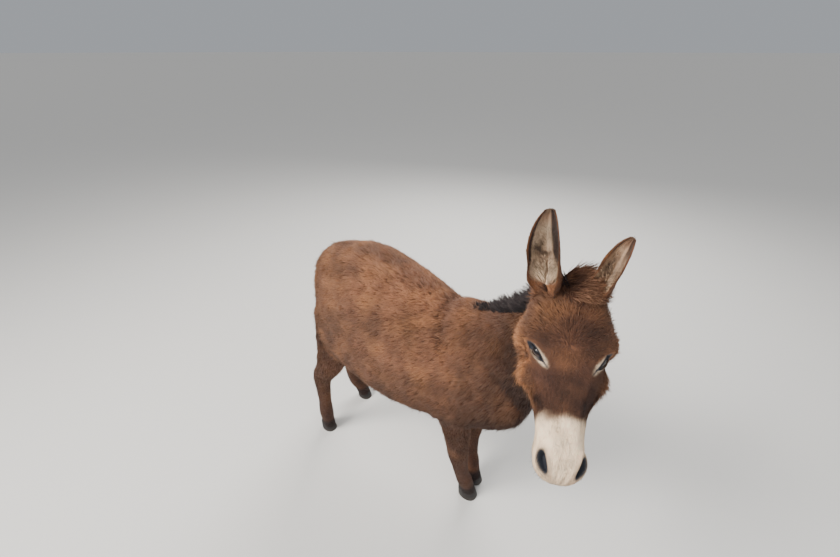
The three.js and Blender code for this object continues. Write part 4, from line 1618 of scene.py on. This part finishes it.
@dataclass
class Coat:
    """The fur over the skin: tufts scattered over it that lie as the hair grows, parted into pieces."""

    long: TuftShape = TuftShape()
    short: TuftShape = TuftShape((0.0,), 0.5, 1.0)
    bridge: float = 12.0
    trunk: float = 34.0
    tail: float = 18.0
    legs: tuple[float, float] = (9.0, 32.0)
    ear_backs: tuple[float, float] = (18.0, 7.5)
    least_lift: float = 6.0
    muzzle_from: float = 318.0
    croup_to: float = -110.0
    shoulder_from: float = 200.0
    dock_from: float = 600.0

    def lengths(self, at: Places) -> Array:
        """Length of the hair: long on trunk, chest and ruff, short on nose, muzzle, ears and feet.

        Args:
            at: the places.

        Returns:
            The length at each place.
        """
        x, turn, high = at.head[:, 0], at.turn, at.points[:, 2]
        cheek = ease(turn, 70, 100) * (1 - ease(x, 230, 300)) * ease(x, 60, 120)
        tufty = BROW_LOCKS(x, turn) + CHEEK_LOCKS(x, turn)
        head = 6.0 + (head_depth(x, turn) - THIN) * 2.1 + 6.0 * cheek + 7.0 * tufty
        leg = blend(*self.legs, ease(high, 60, 620))
        cup = np.interp(at.ear_share, (0.1, 0.3, 0.5, 0.9), (34.0, 26.0, 14.0, 6.0))
        cup = cup * (1 - 0.6 * ease(np.abs(at.ear_turn), 0.6, 0.9))
        back = blend(*self.ear_backs, ease(at.ear_share, 0.1, 0.35))
        back = back * (1 - 0.6 * ease(at.ear_share, 0.8, 0.95))
        ear = np.where(at.ear_inside, cup, back)
        trunk = self.trunk + 6 * ease(turn, 110, 170)
        choices = [at.on(Part.HEAD), at.on(*LEGS), at.on(*EARS), at.on(Part.TAIL)]
        return np.select(choices, [head, leg, ear, np.full(len(high), self.tail)], trunk)

    def density(self, at: Places) -> Array:
        """How thickly the tufts stand.

        Args:
            at: the places.

        Returns:
            Tufts for each square millimetre: one over the square of the width of a tuft's bed.
        """
        bed = blend(2.2, 2.75, ease(self.lengths(at), 6, 34))
        bed = np.where(at.on(Part.TRUNK, Part.NECK), 2.85, bed)
        bed = np.where(at.on(*LEGS), 4.0, bed)
        bed = np.where(at.on(*EARS), 2.8, bed)
        bald = Markings(at).marks().bare > 0.4
        eye = (at.eye < 1.4) & at.on(Part.HEAD)
        return np.where(bald | eye, 0.0, 1 / bed**2)

    def lies(self, at: Places, normals: Array) -> Array:
        """The way the hair lies.

        Down and back on trunk and neck, down the legs and the tail, up the ears, and on the head away from
        the whorl: up to the poll, down the nose, and out and back over temples and cheeks. Noise turns it a
        little in swirls and clumps.

        Args:
            at: the places.
            normals: the skin's unit normals there.

        Returns:
            Unit vectors along the skin.
        """
        x, y, _ = at.head.T
        forward, left, out = HEAD_POSE.turn.T
        down_nose = np.clip((x - WHORL) / 60, -0.75, 1)[:, None] * forward
        sideways = (np.clip(y / 50, -1, 1) * (1 - ease(x, 190, 300)))[:, None] * left
        jaw = (-ease(np.abs(at.turn), 55, 95) * (1 - ease(x, 250, 330)))[:, None] * out
        head = down_nose + 0.95 * sideways + 0.9 * jaw
        body = -at.along + 0.75 * DOWN
        inward = np.where(at.ear_inside, 0.6 * np.sign(at.ear_turn), -0.12 * np.sign(at.ear_turn))
        across = np.cross(at.along, normals)
        ears = at.on(*EARS)
        lie = np.where(at.on(Part.HEAD)[:, None], head, body)
        lie = np.where(at.on(*LEGS, Part.TAIL)[:, None], at.along, lie)
        lie = np.where(ears[:, None], at.along + across * inward[:, None], lie)
        swirl = np.stack([Ripple(80, 30 + axis)(at.points) for axis in range(3)], -1) * 0.2
        clump = np.stack([Ripple(22, 40 + axis)(at.points) for axis in range(3)], -1) * 0.2
        calm = np.where(ears | (x > 300) & at.on(Part.HEAD), 0.35, 1.0)[:, None]
        return flattened(unit(lie) + (swirl + clump) * calm, normals)

    def lifts(self, at: Places, length: Array) -> Array:
        """How far the hair stands up: more on the ruff, less on the muzzle, most deep in the ears.

        Args:
            at: the places.
            length: the hair's plain length there.

        Returns:
            Degrees off the skin.
        """
        head = at.on(Part.HEAD)
        coat = blend(17.0, 13.0, ease(length, 8, 24)) + 14.0 * head * ease(length, 14, 26)
        coat = coat - 8.0 * head * ease(at.head[:, 0], 300, 330)
        cups = blend(30.0, 14.0, ease(at.ear_share, 0.2, 0.5) + ease(np.abs(at.ear_turn), 0.6, 0.9))
        return np.where(at.on(*EARS), np.where(at.ear_inside, np.maximum(cups, 7.0), 8.0), coat)

    def grow(self, skin: Surface, rng: Chance) -> tuple[Tufts, Places]:
        """Scatters the tufts over the skin and gives each its length, width, lift, curl and marks.

        Args:
            skin: the skin's surface.
            rng: the source of chance.

        Returns:
            The tufts and the places of their roots.
        """
        a, b, c = skin.corners()
        middles = find_places((a + b + c) / 3)
        roots, normals = skin.scatter(self.density(middles), rng)
        at = find_places(roots)
        count = len(roots)
        plain = self.lengths(at)
        stray = rng.random(count) < 0.06 * ease(plain, 12, 30)
        ragged = rng.uniform(0.7, 1.2, count)
        length = plain * ragged * (1 + 0.12 * Ripple(60, 50)(roots)) * (1 + 0.35 * stray)
        marks = Markings(at).marks()
        marks.shade = np.clip(marks.shade + rng.normal(0, 0.09, count), 0, 1)
        lift = self.lifts(at, plain) + rng.normal(0, 4.0, count) + 4 * Ripple(34, 51)(roots) + 8 * stray
        lift = np.maximum(np.radians(lift), math.radians(self.least_lift))
        angle = np.radians(at.turn) * at.side
        spots = np.stack([at.t + at.ear_share, angle + at.ear_turn], -1)
        slender = np.where(at.on(Part.HEAD), 0.04, 0.055)
        width = (1.2 + slender * plain) * rng.uniform(0.75, 1.2, count) * (1 - 0.3 * stray)
        sunk = roots - normals * (width * 0.15)[:, None]
        curl = rng.normal(0, 0.12, count)
        return Tufts(sunk, normals, self.lies(at, normals), length, width, lift, curl, marks, spots), at

    def pieces(self, at: Places) -> dict[str, CoatPiece]:
        """Parts the coat into pieces.

        Args:
            at: the places of the tufts' roots.

        Returns:
            Every piece by its name.
        """
        trunk, head, ears = at.on(Part.TRUNK), at.on(Part.HEAD), at.on(*EARS)
        x, left = at.points[:, 0], at.points[:, 1] > 0
        face_left = at.head[:, 1] > 0
        muzzle = head & (at.head[:, 0] > self.muzzle_from)
        bridge = head & ~muzzle & (self.lengths(at) < self.bridge)
        ruff = head & ~muzzle & ~bridge
        dock = at.on(Part.TAIL) & (at.points[:, 2] > self.dock_from)
        spans = {
            "croup": x < self.croup_to,
            "barrel": (x >= self.croup_to) & (x < self.shoulder_from),
            "shoulder": x >= self.shoulder_from,
        }
        sides = {"right": ~left, "left": left}
        return {
            **{f"coat_{span}_{side}": CoatPiece(trunk & along & across, self.short)
               for span, along in spans.items() for side, across in sides.items()},
            "coat_neck": CoatPiece(at.on(Part.NECK), self.short),
            "coat_ruff_right": CoatPiece(ruff & ~face_left, self.long),
            "coat_ruff_left": CoatPiece(ruff & face_left, self.long),
            "coat_bridge": CoatPiece(bridge, self.short),
            "coat_muzzle": CoatPiece(muzzle, self.short, "pale_coat"),
            "coat_fore_legs": CoatPiece(at.on(*FORE_LEGS), self.short),
            "coat_hind_legs": CoatPiece(at.on(*HIND_LEGS), self.short),
            "coat_ear_backs": CoatPiece(ears & ~at.ear_inside, self.short),
            "coat_ear_cups": CoatPiece(ears & at.ear_inside, self.long),
            "coat_tail_dock": CoatPiece(dock, self.long),
        }

    def build(self, skin: Surface, rng: Chance, finish: Material) -> None:
        """Grows the coat, makes its pieces and dresses them.

        Args:
            skin: the skin's surface.
            rng: the source of chance.
            finish: the coat's material.
        """
        tufts, at = self.grow(skin, rng)
        for name, piece in self.pieces(at).items():
            made = make_tufts(name, tufts.chosen(np.flatnonzero(piece.mine)), piece.shape)
            settle(made, (), finish)


# ---------- long hair ----------


@dataclass(frozen=True)
class Locks:
    """Locks of one colour that stand or hang."""

    name: str
    slot: str = "dark_hair"
    nodes: tuple[str, ...] = ()
    shape: TuftShape = TuftShape((0.0, 0.3, 0.6, 0.85), 0.6, 0.7)

    @staticmethod
    def plain(roots: Array, ways: Array, bends: Array, length: Array, width: Array, lift: float, curl: Array,
              shade: Array, spots: Array) -> Tufts:
        """Locks of one colour.

        Args:
            roots: where they grow.
            ways: the way each sets out.
            bends: the way each leans over.
            length: their lengths.
            width: their widths at the root.
            lift: the angle between bends and ways, in degrees.
            curl: how far each sweeps to the side.
            shade: how light each is.
            spots: their places on the map.

        Returns:
            The locks.
        """
        count = len(roots)
        blank = np.zeros(count)
        normals = unit(ways)
        marks = Marks(blank, blank, blank, blank, np.clip(shade, 0, 1))
        lifts = np.full(count, math.radians(lift))
        return Tufts(roots, normals, flattened(bends, normals), length, width, lifts, curl, marks, spots)

    def grow(self, rng: Chance) -> list[Tufts]:
        """Grows the piece's sets of locks, which each kind of hair does in its own way.

        Args:
            rng: the source of chance.

        Returns:
            The sets of locks.
        """
        raise NotImplementedError

    def build(self, rng: Chance, finish: Material) -> None:
        """Grows the locks, makes one piece of them and dresses it.

        Args:
            rng: the source of chance.
            finish: their material.
        """
        sets = self.grow(rng)
        columns = {name: np.concatenate([getattr(one, name) for one in sets]) for name in TUFT_COLUMNS}
        marks = Marks(*(np.concatenate([getattr(one.marks, name) for one in sets]) for name in MARKS))
        made = make_tufts(self.name, Tufts(marks=marks, **columns), self.shape)
        settle(made, self.nodes, finish)


@dataclass(frozen=True)
class Mane(Locks):
    """An upright brush along the crest, in pointed locks that draw together in clumps and lean apart."""

    count: int = 2000
    sunk: float = 26.0
    growth: float = 1.44
    foot: float = 0.9
    fan: float = 0.26
    clumps: float = 0.3
    widths: tuple[float, float] = (4.0, 7.0)

    def grow(self, rng: Chance) -> list[Tufts]:
        """Roots the locks below the crest and stands them up from it."""
        count = self.count
        t, across = rng.random(count), rng.uniform(-1, 1, count)
        stand = catmull(MANE, t)
        foot, half, tall = stand[:, :3], stand[:, 3], stand[:, 4]
        along = unit(catmull(MANE[:, :3], t + 1e-3) - catmull(MANE[:, :3], t - 1e-3))
        side = flattened(np.tile(LEFT, (count, 1)), along)
        up = np.cross(along, side)
        roots = foot - up * self.sunk + side * (across * half * self.foot)[:, None]
        clump = self.clumps * Ripple(18, 60)(foot)
        ways = up + side * (across * self.fan)[:, None] + along * (0.02 + clump)[:, None]
        ragged = 0.94 + 0.14 * Ripple(22, 62)(foot) - 0.2 * np.abs(across)
        ragged = np.clip(ragged + rng.uniform(-0.14, 0.12, count), 0.5, 1.08)
        length = self.growth * (tall + self.sunk) * ragged
        return [self.plain(
            roots, ways, -along, length, rng.uniform(*self.widths, count), 83.0, rng.normal(0, 0.06, count),
            rng.uniform(0.2, 0.8, count), np.stack([t, across], -1))]


@dataclass(frozen=True)
class Forelock(Locks):
    """A thick tuft on the crown between the ears, arching over to the left and forwards."""

    count: int = 1500
    lengths: tuple[float, float] = (74.0, 108.0)
    widths: tuple[float, float] = (2.6, 4.2)
    bend: tuple[float, float, float] = (0.35, 0.75, 0.0)
    tousle: float = 0.16

    def grow(self, rng: Chance) -> list[Tufts]:
        """Roots the locks in an oval on the crown and fans them out from it."""
        spread = rng.uniform(-1, 1, (self.count, 2))
        spread = spread[np.hypot(*spread.T) < 1]
        count = len(spread)
        down, left = spread.T
        foot = HEAD_POSE.out(np.stack([-14 + 38 * down, 6 + 42 * left, -24 + 10 * (1 - left**2)], -1))
        out = np.stack([-0.42 + 0.4 * down, 0.1 + 0.45 * left, np.ones(count)], -1)
        bend = np.tile(self.bend, (count, 1))
        length = blend(*self.lengths, 1 - np.hypot(*spread.T)) * rng.uniform(0.75, 1.06, count)
        ways = (out + self.tousle * rng.normal(size=(count, 3))) @ HEAD_POSE.turn.T
        width, curl = rng.uniform(*self.widths, count), rng.normal(0, 0.12, count)
        shade = 0.5 + 0.25 * Ripple(30, 61)(foot) + rng.normal(0, 0.12, count)
        return [self.plain(foot, ways, bend @ HEAD_POSE.turn.T, length, width, 60.0, curl, shade, spread)]


@dataclass(frozen=True)
class Switch(Locks):
    """The long hair of the tail's end, rooted down the core of the tail and hanging past it."""

    count: int = 2400
    rooted: tuple[float, float] = (0.46, 0.9)
    lengths: tuple[float, float] = (90.0, 190.0)
    least: float = 30.0
    lowest: float = 424.0
    widths: tuple[float, float] = (4.0, 6.5)

    def grow(self, rng: Chance) -> list[Tufts]:
        """Roots the locks round the tail's core and hangs them down, none below the tail's end."""
        count = self.count
        t, turn = rng.uniform(*self.rooted, count), rng.uniform(0, 2 * math.pi, count)
        stand = catmull(TAIL, t)
        ring = np.stack([np.cos(turn), np.sin(turn), np.zeros(count)], -1)
        roots = stand[:, :3] + ring * np.interp(t, (0.46, 0.66, 1.0), (13.0, 9.0, 7.0))[:, None]
        fan = np.interp(t, (0.46, 0.6, 0.75, 0.9), (0.1, 0.2, 0.16, 0.04)) * rng.uniform(0.1, 1.2, count)
        room = roots[:, 2] - self.lowest - rng.uniform(0, 30, count)
        length = np.clip(rng.uniform(*self.lengths, count), self.least, np.maximum(room, self.least))
        return [self.plain(
            roots, DOWN + ring * fan[:, None], -ring, length, rng.uniform(*self.widths, count), 86.0,
            rng.normal(0, 0.03, count), rng.uniform(0.2, 0.8, count), np.stack([t, turn], -1))]


@dataclass(frozen=True)
class Lashes(Locks):
    """Stiff dark lashes along each upper lid."""

    count: int = 70
    row: tuple[float, float] = (0.12, 0.88)
    lengths: tuple[float, float] = (8.0, 13.0)
    width: float = 0.9
    sunk: float = 0.6

    def grow(self, rng: Chance) -> list[Tufts]:
        """Plants a row on the edge of each upper lid, pointing out and down; one set for each eye."""
        sets = []
        for eye in EYES.values():
            angle = np.linspace(*self.row, self.count) * math.pi
            p, q = eye.edge(np.cos(angle), np.sin(angle), -self.sunk)
            foot = np.stack([p, q, eye.height(p, q) - self.sunk], -1)
            way = np.stack([0.25 * np.cos(angle), -0.35 + 0 * angle, 1.0 + 0 * angle], -1)
            way = way + 0.16 * rng.normal(size=way.shape)
            pose = eye.pose()
            bend = np.tile(-pose.turn[:, 1], (self.count, 1))
            sets.append(self.plain(
                pose.out(foot), way @ pose.turn.T, bend, rng.uniform(*self.lengths, self.count),
                np.full(self.count, self.width), 72.0, rng.normal(0, 0.08, self.count),
                rng.uniform(0.1, 0.5, self.count),
                np.stack([angle + 4 * eye.side, rng.random(self.count)], -1)))
        return sets


@dataclass(frozen=True)
class Whiskers(Locks):
    """Sparse fine whiskers on the chin and round the lips."""

    count: int = 130
    down: tuple[float, float] = (405.0, 468.0)
    turns: tuple[float, float] = (70.0, 178.0)
    lengths: tuple[float, float] = (12.0, 24.0)
    width: float = 0.7
    rooted: float = 0.92

    def grow(self, rng: Chance) -> list[Tufts]:
        """Roots the whiskers just under the muzzle's skin and stands them out from it."""
        count = self.count
        x, turn = rng.uniform(*self.down, count), rng.uniform(*self.turns, count)
        side = np.where(rng.random(count) < 0.5, -1.0, 1.0)
        steps = np.linspace(0, 1, 200)
        f = HEAD_LOFT.frames(np.interp(x, HEAD_LOFT.frames(steps).centre[:, 0], steps))
        c, s = np.sin(np.radians(turn)) * side, np.cos(np.radians(turn))
        reach = f.side * (f.size[:, :1] * c[:, None])
        reach = reach + f.up * (np.where(s > 0, f.size[:, 1], f.size[:, 2]) * s)[:, None]
        way = unit(reach) + np.array([0.5, 0, 0]) + 0.2 * rng.normal(size=(count, 3))
        bend = np.tile([0.6, 0.0, -1.0], (count, 1))
        return [self.plain(
            HEAD_POSE.out(f.centre + reach * self.rooted), way @ HEAD_POSE.turn.T, bend @ HEAD_POSE.turn.T,
            rng.uniform(*self.lengths, count), np.full(count, self.width), 75.0, rng.normal(0, 0.1, count),
            rng.uniform(0.3, 0.9, count), np.stack([x, turn * side], -1))]


# ---------- hooves ----------


@dataclass(frozen=True)
class Hoof:
    """One hoof: a flat sole, a wall that slopes in with growth rings, and a top cut along the coronet."""

    name: str
    foot: Array
    long: float
    wide: float
    power: float = 2.2
    rise: float = 52.0
    tilt: float = 20.0
    lean: float = 12.0
    draw: float = 0.28 / 90.0
    crown: float = 0.86
    growth: float = 0.006
    spacing: float = 2.6
    around: int = 56

    def surface(self) -> Surface:
        """The hoof's closed surface.

        The section at height z is a superellipse that shrinks by draw for each millimetre and moves back by
        z tan(lean). Each upright line of points ends at the coronet's sloping plane, where the cap closes it.

        Returns:
            The surface, in the tables' frame.
        """
        share = np.concatenate([[0.0, 0.0, 0.03, 0.07], np.linspace(0.14, 1.0, 18)])[:, None]
        worn = np.concatenate([[0.94, 0.975, 0.99, 1.0], np.ones(18)])[:, None]
        angle = circle(self.around)[None]
        c, s = signed_power(np.cos(angle), 2 / self.power), signed_power(np.sin(angle), 2 / self.power)
        slope, back = math.tan(math.radians(self.tilt)), math.tan(math.radians(self.lean))
        top = (self.rise + slope * c * self.long * self.crown) / (1 + slope * back)
        z = share * top
        size = (1 - self.draw * z) * worn * (1 + self.growth * np.sin(z / self.spacing + 0.6 * c))
        x, y = c * self.long * size - z * back, s * self.wide * size
        ring = np.stack(np.broadcast_arrays(x + self.foot[0], y + self.foot[1], z), -1)
        return stacked(ring, ring[0].mean(0), ring[-1].mean(0)).outward()

    def build(self, finish: Material) -> None:
        """Makes the hoof and dresses it; its finish reads the height up the wall."""
        shape = self.surface()
        values = {"height": shape.points[:, 2] / self.rise}
        settle(make_mesh(f"{self.name}_hoof_wall", shape, values), (f"{self.name}_hoof",), finish)


HOOVES = (
    Hoof("fore_right", FORE_RIGHT[-1], *FORE_HOOF),
    Hoof("fore_left", FORE_LEFT[-1], *FORE_HOOF),
    Hoof("hind_right", HIND_RIGHT[-1], *HIND_HOOF),
    Hoof("hind_left", HIND_LEFT[-1], *HIND_HOOF),
)


# ---------- studio ----------


class LampKind(Enum):
    """The kinds of light in the studio."""

    SOFTBOX = "AREA"
    SKYLIGHT = "SUN"


@dataclass(frozen=True)
class Lamp:
    """One light that faces the animal's middle.

    A softbox has its side in metres and its power in watts. A skylight shines from far away in its place's
    direction, and has the degrees of sky that it fills and its watts for each square metre.
    """

    name: str
    kind: LampKind
    place: tuple[float, float, float]
    size: float
    power: float
    colour: tuple[float, float, float]
    aim: tuple[float, float, float] = (0.0, 0.0, 0.7)

    def hang(self) -> None:
        """Adds the light to the scene."""
        light = bpy.data.lights.new(self.name, self.kind.value)
        if self.kind is LampKind.SOFTBOX:
            light.size = self.size
        else:
            light.angle = math.radians(self.size)
        light.energy = self.power
        light.color = self.colour
        hung = bpy.data.objects.new(self.name, light)
        hung.location = self.place
        face(hung, Vector(self.aim) - Vector(self.place))
        bpy.context.scene.collection.objects.link(hung)


def face(thing: Object, way: Vector) -> None:
    """Turns a light or a camera to look along a way."""
    thing.rotation_mode = "QUATERNION"
    thing.rotation_quaternion = way.to_track_quat("-Z", "Y")


@dataclass(frozen=True)
class Studio:
    """Pale floor, soft lights and the camera, which looks down at the animal from its right front."""

    camera: tuple[float, float, float] = (808.0, -1034.0, 1700.0)
    heading: tuple[float, float] = (-0.5696, 0.822)
    pitch: float = 29.735
    lens: float = 17.14
    sensor: float = 36.0
    floor: float = 400.0
    sky: tuple[float, float, float, float] = (0.82, 0.86, 0.92, 1.0)
    sky_strength: float = 0.45
    lamps: tuple[Lamp, ...] = (
        Lamp("daylight", LampKind.SKYLIGHT, (-1.5, -2.5, 3.6), 50.0, 0.95, (1.0, 0.97, 0.93)),
        Lamp("key", LampKind.SOFTBOX, (-1.5, -2.5, 3.6), 1.4, 250.0, (1.0, 0.965, 0.92)),
        Lamp("fill", LampKind.SOFTBOX, (3.2, -1.0, 2.0), 3.0, 45.0, (0.93, 0.96, 1.0)),
        Lamp("back", LampKind.SOFTBOX, (-1.0, 3.0, 3.2), 2.2, 175.0, (1.0, 0.98, 0.95)))

    def set_camera(self) -> None:
        """Places the camera, which looks along its heading and down by its pitch."""
        lens = bpy.data.cameras.new("camera")
        lens.lens = self.lens
        lens.sensor_width = self.sensor
        camera = bpy.data.objects.new("camera", lens)
        camera.location = CARRY(np.array(self.camera))
        level = unit(np.array(self.heading)) * math.cos(math.radians(self.pitch))
        face(camera, Vector((*level, -math.sin(math.radians(self.pitch)))))
        bpy.context.scene.collection.objects.link(camera)
        bpy.context.scene.camera = camera

    def lay_floor(self) -> None:
        """Lays a plain square floor."""
        half = self.floor
        mesh = bpy.data.meshes.new("floor")
        corners = [(-half, -half, 0), (half, -half, 0), (half, half, 0), (-half, half, 0)]
        mesh.from_pydata(corners, [], [(0, 1, 2, 3)])
        floor = bpy.data.objects.new("floor", mesh)
        mesh.materials.append(FloorFinish().make())
        bpy.context.scene.collection.objects.link(floor)

    def set_sky(self) -> None:
        """Fills the surroundings with one pale colour."""
        world = bpy.data.worlds.new("sky")
        world.use_nodes = True
        background = world.node_tree.nodes["Background"].inputs
        background["Color"].default_value = self.sky
        background["Strength"].default_value = self.sky_strength
        bpy.context.scene.world = world

    def build(self) -> None:
        """Sets the camera, the floor, the lights and the sky."""
        self.set_camera()
        self.lay_floor()
        for lamp in self.lamps:
            lamp.hang()
        self.set_sky()


def main() -> None:
    """Builds the animal and its studio, piece by piece."""
    logging.basicConfig(level=logging.INFO, format="%(name)s: %(message)s")
    rng = np.random.default_rng(SEED)
    Studio().build()
    coat = CoatFinish().make()
    dark_hair = LockFinish("dark_hair", tone(16, 14, 16), tone(30, 26, 29), tone(74, 62, 60)).make()
    crown_hair = LockFinish("forelock_hair", tone(54, 35, 28), tone(108, 74, 58), tone(176, 130, 96)).make()
    skin = Skin().build(coat)
    Coat().build(skin, rng, coat)
    Mane("mane_hair", nodes=("mane",)).build(rng, dark_hair)
    Forelock("forelock_hair", "coat", ("forelock",)).build(rng, crown_hair)
    Switch("switch_hair", nodes=("tail_switch",)).build(rng, dark_hair)
    Lashes("lashes").build(rng, dark_hair)
    Whiskers("whiskers").build(rng, dark_hair)
    wet = EyeFinish().make()
    for name, eye in EYES.items():
        eye.build(name, wet)
    horn = HornFinish().make()
    for hoof in HOOVES:
        hoof.build(horn)


if __name__ == "__main__":
    main()
